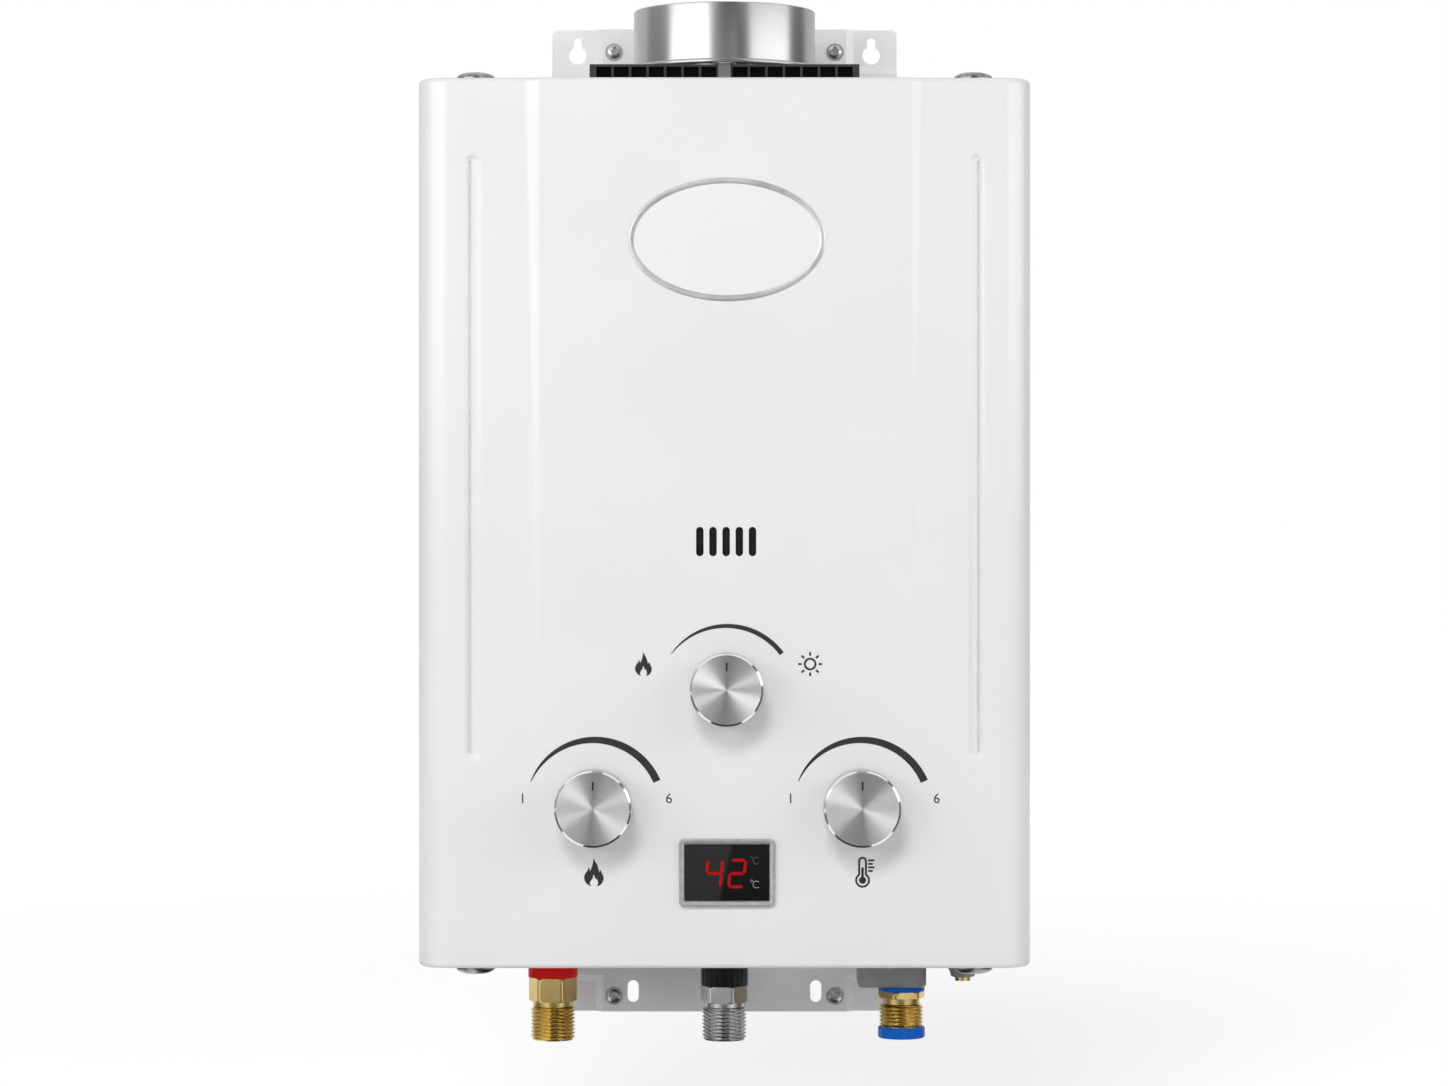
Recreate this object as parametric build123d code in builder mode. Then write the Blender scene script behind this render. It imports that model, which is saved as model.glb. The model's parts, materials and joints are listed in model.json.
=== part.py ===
from build123d import *
import os
from math import sqrt

# A wall-hung tankless gas water heater of about six litres a minute, in millimetres.
# X runs to the right seen from the front, Y from the room to the wall, Z up.
# The origin lies on the wall, midway between the head holes of the two hanging keyholes.

# Casing
CASE_WIDTH = 297.0
CASE_HEIGHT = 430.0
CASE_DEPTH = 120.0
SHEET = 0.8
EDGE_BEND = 15.0
RIM_BEVEL = 1.8
KEYHOLE_RISE = 24.5
CASE_TOP = -KEYHOLE_RISE
CASE_BOTTOM = CASE_TOP - CASE_HEIGHT
FRONT = Plane.XZ.offset(CASE_DEPTH)

# Raised centre panel of the front skin, proud at the top and flush at its lower end
PANEL_HALF = 90.0
PANEL_FLANK = 5.5
PANEL_RISE = 2.0
PANEL_DROP = 320.0

# Pressed grooves beside the panel
GROOVE_X = 121.5
GROOVE_WIDTH = 7.0
GROOVE_DEPTH = 1.5
GROOVE_START = 37.0
GROOVE_LENGTH = 293.0

# Back plate and the wall brackets screwed to its tongues
PLATE = 1.0
BRACKET_SHEET = 1.2
EAR_SETBACK = 3.8
JOGGLE_SLOPE = 45.0
PLATE_FRONT = -EAR_SETBACK
PLATE_BACK = PLATE_FRONT + PLATE
SIDE_GAP = 2.0
FLANGE_DEPTH = 14.0
BRACKET_HALF = 88.0
BRACKET_GAP = 1.0
UPPER_REACH = 37.4
LOWER_REACH = 33.8
EAR_X = 62.0
EAR_START = 15.0
EAR_CORNER = 2.0
KEYHOLE_X = 75.0
KEYHOLE_HEAD_R = 4.5
KEYHOLE_SLOT_R = 2.2
KEYHOLE_LIFT = 6.7
TONGUE_OUTER = 60.5
TONGUE_WIDTH = 9.5
TONGUE_REACH = 31.0
WALL_SLOT_X = 46.6
WALL_SLOT_OUT = 23.4
WALL_SLOT_WIDTH = 5.6
WALL_SLOT_LENGTH = 11.2
SCREW_CLEARANCE = 0.2

# Cover screws and the tabs of the back plate that they bite into
COVER_SCREW_INSET = 27.0
COVER_SCREW_BACK = 25.0
COVER_SCREW_R = 2.5
COVER_SCREW_HEAD_R = 9.5
COVER_SCREW_HEAD = 5.0
COVER_SCREW_LENGTH = 8.0
WING_HEIGHT = 24.0
TAB_WIDTH = 32.0
TAB_LENGTH = 26.0

# Flue collar, vent grille and draught hood
FLUE_R = 45.0
FLUE_WALL = 0.8
FLUE_SIDES = 36
FLUE_SHOULDER = 1.0
FLUE_SHOULDER_RISE = 11.4
FLUE_RISE = 39.0
FLUE_Y = -58.0
FLUE_TAB_WIDTH = 6.0
HOOD_TOP_DROP = 3.0
HOOD_SHEET = 0.8
HOOD_TOP_WIDTH = 136.0
HOOD_TOP_DEPTH = 104.0
HOOD_NECK = 10.0
GRILLE_WIDTH = 131.0
GRILLE_DEPTH = 100.0
GRILLE_RISE = 7.7
GRILLE_WALL = 2.0
GRILLE_TOP = 1.2
GRILLE_SILL = 2.0
GRILLE_FIRST = 7.6
GRILLE_PITCH = 8.5
GRILLE_FRONT_COUNT = 7
GRILLE_SIDE_COUNT = 8
GRILLE_WINDOW = 7.3
GRILLE_FLUE_GAP = 2.2

# Knobs, with their heights above the casing's bottom
KNOB_R = 18.5
KNOB_LENGTH = 18.0
KNOB_GAP = 1.0
KNOB_GRIP = 12.0
SPINDLE_R = 4.0
SPINDLE_SIDE = SPINDLE_R * sqrt(2)
SPINDLE_GRIP = 12.0
RUNNING_GAP = 0.05
SPINDLE_HOLE = 11.0
BOSS_WALL = 4.0
SEASON_X = 1.0
SEASON_RISE = 135.0
GAS_KNOB_X = -63.0
WATER_KNOB_X = 66.0
LOWER_KNOB_RISE = 78.0
SEASON_Z = CASE_BOTTOM + SEASON_RISE
LOWER_KNOB_Z = CASE_BOTTOM + LOWER_KNOB_RISE

# Temperature display
DISPLAY_X = 1.2
DISPLAY_RISE = 46.3
BEZEL_WIDTH = 46.5
BEZEL_HEIGHT = 32.8
BEZEL_BORDER = 2.9
BEZEL_CORNER = 1.6
BEZEL_PROUD = 2.4
LENS_RECESS = 0.9
LENS_GAP = 0.1
DISPLAY_BACK = 12.0
DISPLAY_LAP = 2.5
DISPLAY_Z = CASE_BOTTOM + DISPLAY_RISE

# Flame viewing slots and everything that stands above the season valve
SLOT_COUNT = 5
SLOT_PITCH = 6.35
SLOT_WIDTH = 3.6
SLOT_HEIGHT = 14.2
SLOT_CORNER = 1.2
VIEW_X = 0.8
VIEW_RISE = 71.0
VIEW_Z = SEASON_Z + VIEW_RISE
WINDOW_WIDTH = 38.0
WINDOW_HEIGHT = 24.0
WINDOW_LAP = 4.0
WINDOW_PANE = 0.6

# Combustion chamber, fins and water tube of the heat exchanger
CORE_Y = FLUE_Y
CHAMBER_WIDTH = 170.0
CHAMBER_DEPTH = 84.0
CHAMBER_HEIGHT = 149.0
CHAMBER_BELOW_VIEW = 16.0
CHAMBER_SHEET = 0.8
CHAMBER_FLANGE = 6.0
CHAMBER_BOTTOM = VIEW_Z - CHAMBER_BELOW_VIEW
CHAMBER_TOP = CHAMBER_BOTTOM + CHAMBER_HEIGHT
TUBE_R = 6.0
TUBE_PITCH = 26.0
TUBE_DROP = 24.0
TUBE_END = 90.0
TUBE_Z = CHAMBER_TOP - TUBE_DROP
TUBE_GAP = 0.3
PIPE_SIDES = 12
FIN_COUNT = 11
FIN_SHEET = 0.5
FIN_HEIGHT = 36.0
FIN_SPAN = 154.0
FIN_EDGE_GAP = 0.2

# Straps that hold the chamber off the back plate
STRAP_WIDTH = 60.0
STRAP_HEIGHT = 14.0
STRAP_SHEET = 1.5
STRAP_INSET = 18.0

# Burner
TRAY_WIDTH = 156.0
TRAY_DEPTH = 68.0
TRAY_HEIGHT = 36.0
TRAY_SHEET = 1.0
TRAY_FLANGE = 10.0
TRAY_LEDGE = 4.0
TRAY_LEG_X = 60.0
TRAY_LEG_WIDTH = 12.0
TRAY_LEG_FOOT = 14.0
BURNER_COUNT = 5
BURNER_PITCH = 26.0
BURNER_WIDTH = 12.0
BURNER_HEIGHT = 30.0
BURNER_PORTS = 4
BURNER_PORT = 2.0
BURNER_PORT_SPAN = 8.0
BURNER_PORT_DEPTH = 4.0
AIR_HOLE = 8.0
MANIFOLD_HALF = 66.0
MANIFOLD_SIDE = 14.0
MANIFOLD_CLEAR = 5.2
MANIFOLD_HEIGHT = 16.0
MANIFOLD_DROP = 21.0
JET_R = 3.0
JET_LENGTH = 6.0
JET_STANDOFF = 2.0

# Gas train
FITTING_Y = -60.0
GAS_X = 0.0
VALVE_FRONT = -95.0
VALVE_BACK = -47.0
GAS_VALVE_LEFT = -85.0
GAS_VALVE_RIGHT = 16.0
GAS_VALVE_HEIGHT = 28.0
SEASON_VALVE_HALF = 22.0
SEASON_VALVE_BELOW = 18.0
RISER_HALF = 12.0
BOSS_REACH = 9.0

# Water valve, push rod and micro switch
ROD_R = 2.5
ROD_TRAVEL = 4.0
ROD_PLATE_R = 12.0
ROD_PLATE = 3.0
LINK_GAP = 12.0
ROD_ENGAGE = 6.0
DIAPHRAGM_R = 28.0
DIAPHRAGM_SIDES = 12
DIAPHRAGM = 2.0
DIAPHRAGM_COVER = 12.0
DIAPHRAGM_FLOOR = 3.0
DIAPHRAGM_SEAT = 8.0
CHAMBER_DISC = 10.0
WATER_BLOCK_RIGHT = 114.0
WATER_LEG_LEFT = 66.0
WATER_LEG_RIGHT = 99.6
WATER_LEG_DROP = 14.2
WATER_LEG_HALF = 15.0
POST_SIDE = 6.0
POST_SPREAD = 18.0
SWITCH_WIDTH = 6.4
SWITCH_HEIGHT = 18.0
SWITCH_LENGTH = 10.0
SWITCH_PLUNGER = 2.0
SWITCH_ROD_GAP = 0.5
ROD_PLATE_GAP = 0.2
CASTING_CORNER = 4.0
WATER_BLOCK_HEIGHT = 30.0

# Pipe fittings below the casing, with half-inch parallel pipe threads
THREAD_MAJOR = 20.955
THREAD_R = THREAD_MAJOR / 2
BORE_R = 7.0
BORE_SIDES = 16
SEAL_SIDES = 8
RING_SIDES = 24
BORE_DEPTH = 30.0
HEX_FLATS = 21.0
HEX_SIDES = 6
SPIGOT_R = 7.9
SPIGOT_RISE = 20.0
THREAD_BOTTOM = 41.3
THREAD_LENGTH = 17.3
HOT_X = -85.2
HOT_RING_R = 12.2
HOT_RING_DROP = 12.2
GLAND_R = 11.6
GLAND_DROP = 16.0
COLD_X = 87.9
COLD_RING_R = 11.5
COLD_RING = 3.0
COLD_COLLAR = 3.2
COLD_THREAD = 14.1
CAP_R = 11.6
CAP_HEIGHT = 5.8
CAP_END = 1.0
CAP_GAP = 0.15
CAP_LAND_R = 10.1
SEAL_GAP = 0.1

# Pressure relief valve
RELIEF_SHARE = 0.385
RELIEF_R = 4.0
RELIEF_BODY_R = 6.5
RELIEF_DROP = 12.0
RELIEF_ARM_RISE = 16.0
RELIEF_HEAD = 12.0

# Water pipes
PIPE_BEND = 9.0
COLD_RISER_X = 106.0
HOT_PIPE_X = -106.0
HOT_TURN_RISE = 55.0

# Battery box, battery door and igniter, all on the back plate
CELL_R = 16.2
CELL_LENGTH = 60.0
CELL_GAP = 0.9
BOX_WALL = 1.5
BOX_LEFT = -72.0
DOOR = 2.0
DOOR_GAP = 0.5
HINGE_R = 2.0
HINGE_PIN_R = 0.9
HINGE_EAR = 4.0
HINGE_PIN_FIT = 0.02
IGNITER_WIDTH = 60.0
IGNITER_DEPTH = 30.0
IGNITER_HEIGHT = 52.0
IGNITER_RISE = 80.0
IGNITER_LEFT = -70.0
IGNITER_CORNER = 4.0

# Electrodes, overheat switch and temperature probe
ELECTRODE_X = 44.0
ELECTRODE_R = 2.5
ELECTRODE_LENGTH = 16.0
ELECTRODE_WIRE_R = 0.8
ELECTRODE_TIP = 10.0
ELECTRODE_RISE = 10.0
ELECTRODE_PLATE = 14.0
CUTOUT_R = 7.0
CUTOUT_THICK = 6.0
CUTOUT_RISE = 62.0
CUTOUT_PLATE = 24.0
CUTOUT_PLATE_WIDTH = 10.0
PROBE_R = 3.0
PROBE_LENGTH = 14.0
PROBE_STRAP = 2.0
PROBE_BAND = 10.0
PROBE_RISE = 32.0

# Notches in the casing's bottom
NOTCH_GAP = 1.6
SHELF_GAP = 0.3
SHELF_LEFT = -100.0
SHELF_MARGIN = 11.0
SHELF_FRONT = -80.0
BOTTOM_LIP = 7.0
GRILLE_GAP = 2.2
HOT_NOTCH = 9.4

# Values that several pieces share
SKIN_INSIDE = -CASE_DEPTH + SHEET
HOOD_TOP = CASE_TOP - HOOD_TOP_DROP
FLUE_RIM = CASE_TOP + FLUE_RISE
GRILLE_FRONT = FLUE_Y - GRILLE_DEPTH / 2
COVER_SCREW_X = CASE_WIDTH / 2 - COVER_SCREW_INSET
COVER_SCREW_Y = -CASE_DEPTH + COVER_SCREW_BACK
VALVE_Y = (VALVE_FRONT + VALVE_BACK) / 2
GAS_VALVE_BOTTOM = LOWER_KNOB_Z - GAS_VALVE_HEIGHT / 2
TRAY_TOP = CHAMBER_BOTTOM
TRAY_FRONT = SKIN_INSIDE + MANIFOLD_CLEAR + MANIFOLD_SIDE + JET_STANDOFF + JET_LENGTH
TRAY_BACK = TRAY_FRONT + TRAY_DEPTH
MANIFOLD_TOP = TRAY_TOP - MANIFOLD_DROP
MANIFOLD_BOTTOM = MANIFOLD_TOP - MANIFOLD_HEIGHT
MANIFOLD_BACK = TRAY_FRONT - JET_LENGTH - JET_STANDOFF
MANIFOLD_FRONT = MANIFOLD_BACK - MANIFOLD_SIDE
WATER_COVER_LEFT = GAS_VALVE_RIGHT + LINK_GAP
DIAPHRAGM_LEFT = WATER_COVER_LEFT + DIAPHRAGM_COVER
WATER_DISC_LEFT = DIAPHRAGM_LEFT + DIAPHRAGM
WATER_BLOCK_LEFT = WATER_DISC_LEFT + CHAMBER_DISC
WATER_LEG_BOTTOM = CASE_BOTTOM - WATER_LEG_DROP
RELIEF_X = WATER_LEG_RIGHT + RELIEF_SHARE * (CASE_WIDTH / 2 - WATER_LEG_RIGHT)
SHELF_RIGHT = RELIEF_X + SHELF_MARGIN
BOX_WIDTH = 4 * CELL_R + 3 * CELL_GAP + 2 * BOX_WALL
BOX_DEPTH = 2 * CELL_R + 2 * CELL_GAP + 2 * BOX_WALL
BOX_RIGHT = BOX_LEFT + BOX_WIDTH
BOX_FRONT = PLATE_FRONT - BOX_DEPTH
BOX_BOTTOM = CASE_BOTTOM + DOOR + DOOR_GAP
BOX_TOP = BOX_BOTTOM + CELL_LENGTH + CELL_GAP + BOX_WALL
HINGE_Y = BOX_FRONT - HINGE_R - DOOR_GAP
HINGE_Z = CASE_BOTTOM + HINGE_R


def block(x_span, y_span, z_span, mode=Mode.ADD):
    """Adds a box to the part in hand, given by the places of its faces."""
    (x0, x1), (y0, y1), (z0, z1) = x_span, y_span, z_span
    with Locations(((x0 + x1) / 2, (y0 + y1) / 2, (z0 + z1) / 2)):
        Box(x1 - x0, y1 - y0, z1 - z0, mode=mode)


def about(middle, half):
    """The span that reaches equally far to both sides of a middle."""
    return middle - half, middle + half


def rod(start, direction, radius, length, mode=Mode.ADD):
    """Adds a round bar to the part in hand, from a start point along a direction."""
    with Locations(Plane(origin=start, z_dir=direction)):
        Cylinder(radius, length, align=(Align.CENTER, Align.CENTER, Align.MIN), mode=mode)


def bar(start, direction, across, sides, length):
    """A bar with flat sides along a direction, given by the distance from its axis to a flat."""
    with BuildPart() as prism:
        with BuildSketch(Plane(origin=start, z_dir=direction)):
            RegularPolygon(across, sides, major_radius=False)
        extrude(amount=length)
    return prism.part


def save(name, piece):
    """Labels a finished piece and writes it as a STEP file of that name."""
    piece.part.label = name
    export_step(piece.part, f"parts/{name}.step")


os.makedirs("parts", exist_ok=True)


# Front cover: one deep-drawn shell of painted sheet steel, open at the back
def raised_panel(inset):
    """The shallow wedge pressed out of the middle of the front skin, which runs over the top rim."""
    skin = -CASE_DEPTH + inset
    top = CASE_TOP - inset
    reach = PANEL_HALF + PANEL_FLANK * (2 + RIM_BEVEL / PANEL_RISE)
    with BuildPart() as wedge:
        block((-reach, reach), (skin - PANEL_RISE, skin + RIM_BEVEL), (top - PANEL_DROP, top))
        split(
            bisect_by=Plane((0, skin - PANEL_RISE, top), z_dir=(0, PANEL_DROP, PANEL_RISE)),
            keep=Keep.TOP,
        )
        bevel = Plane(
            (0, skin - PANEL_RISE, top - RIM_BEVEL),
            z_dir=(0, RIM_BEVEL, -PANEL_RISE - RIM_BEVEL),
        )
        split(bisect_by=bevel, keep=Keep.TOP)
        for side in (1, -1):
            flank = Plane(
                (side * PANEL_HALF, skin - PANEL_RISE, top),
                z_dir=(-side * PANEL_RISE * PANEL_DROP / PANEL_FLANK, PANEL_DROP, PANEL_RISE),
            )
            split(bisect_by=flank, keep=Keep.TOP)
    return wedge.part


def cover_blank(inset, rear):
    """The casing's plain outside, or its inside when drawn in by the sheet's thickness."""
    half = CASE_WIDTH / 2 - inset
    skin = -CASE_DEPTH + inset
    with BuildPart() as blank:
        with BuildSketch(Plane.XY.offset(CASE_BOTTOM + inset)):
            with BuildLine():
                FilletPolyline(
                    (-half, rear),
                    (-half, skin),
                    (half, skin),
                    (half, rear),
                    radius=EDGE_BEND - inset,
                )
                Line((half, rear), (-half, rear))
            make_face()
        extrude(amount=CASE_HEIGHT - 2 * inset)
    return blank.part


def rims(piece, rear):
    """The top and bottom edges of the casing, without the ones at the open back."""
    levels = piece.edges().group_by(Axis.Z)
    return (levels[0] + levels[-1]).filter_by(lambda edge: edge.center().Y < rear - SHEET)


GROOVE_R = (GROOVE_WIDTH**2 / 4 + GROOVE_DEPTH**2) / (2 * GROOVE_DEPTH)
GROOVE_Y = -CASE_DEPTH + GROOVE_DEPTH - GROOVE_R
GROOVE_TOP = CASE_TOP - GROOVE_START
GROOVE_BOTTOM = GROOVE_TOP - GROOVE_LENGTH
with BuildPart() as cover_hollow:
    add(cover_blank(SHEET, CASE_DEPTH))
    chamfer(rims(cover_hollow, CASE_DEPTH), RIM_BEVEL / 2)
    add(raised_panel(SHEET))
    for side in (-1, 1):
        rib = GROOVE_WIDTH / 2 + SHEET
        block(
            about(side * GROOVE_X, rib),
            (-CASE_DEPTH, SKIN_INSIDE + GROOVE_DEPTH),
            (GROOVE_BOTTOM - SHEET, GROOVE_TOP + SHEET),
            mode=Mode.SUBTRACT,
        )

with BuildPart() as front_cover:
    add(cover_blank(0, PLATE_BACK))
    chamfer(rims(front_cover, PLATE_BACK), RIM_BEVEL)
    add(raised_panel(0))
    add(cover_hollow.part, mode=Mode.SUBTRACT)
    # Pressed grooves with rounded ends
    for side in (-1, 1):
        bottom = (side * GROOVE_X, GROOVE_Y, GROOVE_BOTTOM + GROOVE_R)
        rod(bottom, (0, 0, 1), GROOVE_R, GROOVE_LENGTH - 2 * GROOVE_R, mode=Mode.SUBTRACT)
        with Locations(bottom, (side * GROOVE_X, GROOVE_Y, GROOVE_TOP - GROOVE_R)):
            Sphere(GROOVE_R, mode=Mode.SUBTRACT)
    # Viewing slots, spindle holes and the display window
    with BuildSketch(FRONT.offset(PANEL_RISE)):
        with Locations((VIEW_X, VIEW_Z)):
            with GridLocations(SLOT_PITCH, SLOT_PITCH, SLOT_COUNT, 1):
                Rectangle(SLOT_WIDTH, SLOT_HEIGHT)
        chamfer(vertices(), SLOT_CORNER)
        with Locations((SEASON_X, SEASON_Z), (GAS_KNOB_X, LOWER_KNOB_Z), (WATER_KNOB_X, LOWER_KNOB_Z)):
            Rectangle(SPINDLE_HOLE, SPINDLE_HOLE)
        with Locations((DISPLAY_X, DISPLAY_Z)):
            Rectangle(BEZEL_WIDTH - 2 * BEZEL_BORDER, BEZEL_HEIGHT - 2 * BEZEL_BORDER)
    extrude(amount=-PANEL_RISE - 2 * SHEET, mode=Mode.SUBTRACT)
    # Opening for the hood and the grille in the top
    block(
        (-HOOD_TOP_WIDTH / 2 - SHEET, HOOD_TOP_WIDTH / 2 + SHEET),
        (GRILLE_FRONT - GRILLE_GAP, 0),
        (CASE_TOP - 2 * SHEET, CASE_TOP + SHEET),
        mode=Mode.SUBTRACT,
    )
    # Notches in the bottom, open to the back so that the cover lifts off forwards
    notches = [
        (HOT_X - HOT_NOTCH, HOT_X + HOT_NOTCH, FITTING_Y - HOT_NOTCH),
        (GAS_X - GLAND_R - NOTCH_GAP, GAS_X + GLAND_R + NOTCH_GAP, FITTING_Y - GLAND_R - NOTCH_GAP),
        (
            WATER_LEG_LEFT - NOTCH_GAP,
            WATER_LEG_RIGHT + NOTCH_GAP,
            FITTING_Y - WATER_LEG_HALF - NOTCH_GAP,
        ),
        (
            RELIEF_X - RELIEF_BODY_R - NOTCH_GAP,
            RELIEF_X + RELIEF_BODY_R + NOTCH_GAP,
            FITTING_Y - RELIEF_BODY_R - NOTCH_GAP,
        ),
        (BOX_LEFT - DOOR_GAP, BOX_RIGHT + DOOR_GAP, HINGE_Y - HINGE_R - DOOR_GAP),
        (-BRACKET_HALF, BRACKET_HALF, -BOTTOM_LIP),
    ]
    for left, right, reach in notches:
        block(
            (left, right),
            (reach, 0),
            (CASE_BOTTOM - SHEET, CASE_BOTTOM + 2 * SHEET),
            mode=Mode.SUBTRACT,
        )
    for side in (-1, 1):
        hole = COVER_SCREW_R + SCREW_CLEARANCE
        block(
            about(side * COVER_SCREW_X, hole),
            about(COVER_SCREW_Y, hole),
            (CASE_BOTTOM - SHEET, CASE_TOP + SHEET),
            mode=Mode.SUBTRACT,
        )
save("front_cover", front_cover)


# Back plate: a tray with side flanges, tabs for the cover screws and tongues for the wall brackets
PLATE_HALF = CASE_WIDTH / 2 - SHEET - SIDE_GAP
with BuildPart() as back_plate:
    block(
        (-PLATE_HALF, PLATE_HALF),
        (PLATE_FRONT, PLATE_BACK),
        (CASE_BOTTOM + SHEET + SIDE_GAP, CASE_TOP - SHEET - SIDE_GAP),
    )
    for side in (-1, 1):
        wing = sorted((side * PLATE_HALF, side * (PLATE_HALF - PLATE)))
        block(
            wing,
            (PLATE_FRONT - FLANGE_DEPTH, PLATE_BACK),
            (CASE_BOTTOM + SHEET + SIDE_GAP, CASE_TOP - SHEET - SIDE_GAP),
        )
        block(
            sorted((side * TONGUE_OUTER, side * (TONGUE_OUTER - TONGUE_WIDTH))),
            (PLATE_FRONT, PLATE_BACK),
            (CASE_BOTTOM - TONGUE_REACH, CASE_TOP + TONGUE_REACH),
        )
        tab_x = sorted((side * PLATE_HALF, side * (COVER_SCREW_X - TAB_WIDTH / 2)))
        tab_y = about(COVER_SCREW_Y, TAB_LENGTH / 2)
        for skin, inward in ((CASE_TOP - SHEET, -1), (CASE_BOTTOM + SHEET, 1)):
            block(wing, (tab_y[0], PLATE_BACK), sorted((skin, skin + inward * WING_HEIGHT)))
            block(tab_x, tab_y, sorted((skin, skin + inward * PLATE)))
        hole = COVER_SCREW_R + SCREW_CLEARANCE
        block(
            about(side * COVER_SCREW_X, hole),
            about(COVER_SCREW_Y, hole),
            (CASE_BOTTOM, CASE_TOP),
            mode=Mode.SUBTRACT,
        )
    # Shelf behind the cover's bottom, cut out for the fittings, the relief valve and the battery door
    shelf = CASE_BOTTOM + SHEET + SHELF_GAP
    block((SHELF_LEFT, SHELF_RIGHT), (SHELF_FRONT, PLATE_BACK), (shelf, shelf + PLATE))
    cutouts = [
        (about(HOT_X, SPIGOT_R + SHELF_GAP), about(FITTING_Y, SPIGOT_R + SHELF_GAP)),
        (about(GAS_X, GLAND_R + SHELF_GAP), about(FITTING_Y, GLAND_R + SHELF_GAP)),
        (
            (WATER_LEG_LEFT - SHELF_GAP, WATER_LEG_RIGHT + SHELF_GAP),
            about(FITTING_Y, WATER_LEG_HALF + SHELF_GAP),
        ),
        (about(RELIEF_X, RELIEF_R + SHELF_GAP), about(FITTING_Y, RELIEF_R + SHELF_GAP)),
        (
            (BOX_LEFT - DOOR_GAP, BOX_RIGHT + DOOR_GAP),
            (HINGE_Y - HINGE_R - SHELF_GAP, PLATE_FRONT),
        ),
    ]
    for across, along in cutouts:
        block(across, along, (shelf, shelf + PLATE), mode=Mode.SUBTRACT)
save("back_plate", back_plate)


# Wall brackets: joggled strips whose ears lie on the wall while the middle stands forward of it
BRACKET_FRONT = PLATE_FRONT - BRACKET_SHEET


def wall_bracket(reach):
    """A bracket that reaches upward from a casing edge at height zero."""
    margin = 2 * EAR_SETBACK
    web = BRACKET_SHEET * sqrt(2)
    ear_width = BRACKET_HALF + margin - EAR_X
    ear_height = reach + margin - EAR_START
    with BuildPart() as strip:
        block((-BRACKET_HALF, BRACKET_HALF), (BRACKET_FRONT, 0), (BRACKET_GAP, reach))
        # Front recess of each ear, with sloping sides
        with BuildSketch(Plane((0, BRACKET_FRONT, 0), x_dir=(-1, 0, 0), z_dir=(0, 1, 0))):
            with Locations((EAR_X + ear_width / 2, EAR_START + ear_height / 2)):
                Rectangle(ear_width, ear_height)
            with Locations((-EAR_X - ear_width / 2, EAR_START + ear_height / 2)):
                Rectangle(ear_width, ear_height)
        extrude(amount=EAR_SETBACK, taper=JOGGLE_SLOPE, mode=Mode.SUBTRACT)
        # Hollow behind the middle, one sheet thickness away from the recesses
        hollow_half = EAR_X - BRACKET_FRONT - web
        hollow_top = EAR_START - BRACKET_FRONT - web
        with BuildSketch(Plane.XZ):
            with Locations((0, reach / 2)):
                Rectangle(2 * hollow_half, reach + 2 * margin)
            with Locations((0, (hollow_top - margin) / 2)):
                Rectangle(2 * (BRACKET_HALF + margin), hollow_top + margin)
        extrude(amount=EAR_SETBACK, taper=JOGGLE_SLOPE, mode=Mode.SUBTRACT)
        corners = strip.edges().filter_by(Axis.Y).group_by(Axis.Z)[-1].sort_by(Axis.X)
        chamfer([corners[0], corners[-1]], EAR_CORNER)
    return strip.part


with BuildPart() as upper_wall_bracket:
    add(wall_bracket(UPPER_REACH).moved(Location((0, 0, CASE_TOP))))
    with BuildSketch(Plane.XZ):
        with Locations((-KEYHOLE_X, 0), (KEYHOLE_X, 0)):
            Circle(KEYHOLE_HEAD_R)
        with Locations((-KEYHOLE_X, KEYHOLE_LIFT / 2), (KEYHOLE_X, KEYHOLE_LIFT / 2)):
            SlotCenterToCenter(KEYHOLE_LIFT, 2 * KEYHOLE_SLOT_R, rotation=90)
    extrude(amount=EAR_SETBACK + 2 * BRACKET_SHEET, mode=Mode.SUBTRACT)
save("upper_wall_bracket", upper_wall_bracket)

with BuildPart() as lower_wall_bracket:
    add(wall_bracket(LOWER_REACH).mirror(Plane.XY).moved(Location((0, 0, CASE_BOTTOM))))
    with BuildSketch(Plane.XZ):
        with GridLocations(2 * WALL_SLOT_X, 1, 2, 1):
            with Locations((0, CASE_BOTTOM - WALL_SLOT_OUT)):
                SlotOverall(WALL_SLOT_LENGTH, WALL_SLOT_WIDTH, rotation=90)
    extrude(amount=EAR_SETBACK + 2 * BRACKET_SHEET, mode=Mode.SUBTRACT)
save("lower_wall_bracket", lower_wall_bracket)


# Cover screws with large flat heads and square necks
with BuildPart() as cover_screws:
    for side in (-1, 1):
        for skin, outward in ((CASE_TOP, 1), (CASE_BOTTOM, -1)):
            seat = (side * COVER_SCREW_X, COVER_SCREW_Y, skin)
            rod(seat, (0, 0, outward), COVER_SCREW_HEAD_R, COVER_SCREW_HEAD)
            block(
                about(seat[0], COVER_SCREW_R),
                about(seat[1], COVER_SCREW_R),
                sorted((skin, skin - outward * COVER_SCREW_LENGTH)),
            )
save("cover_screws", cover_screws)


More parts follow.
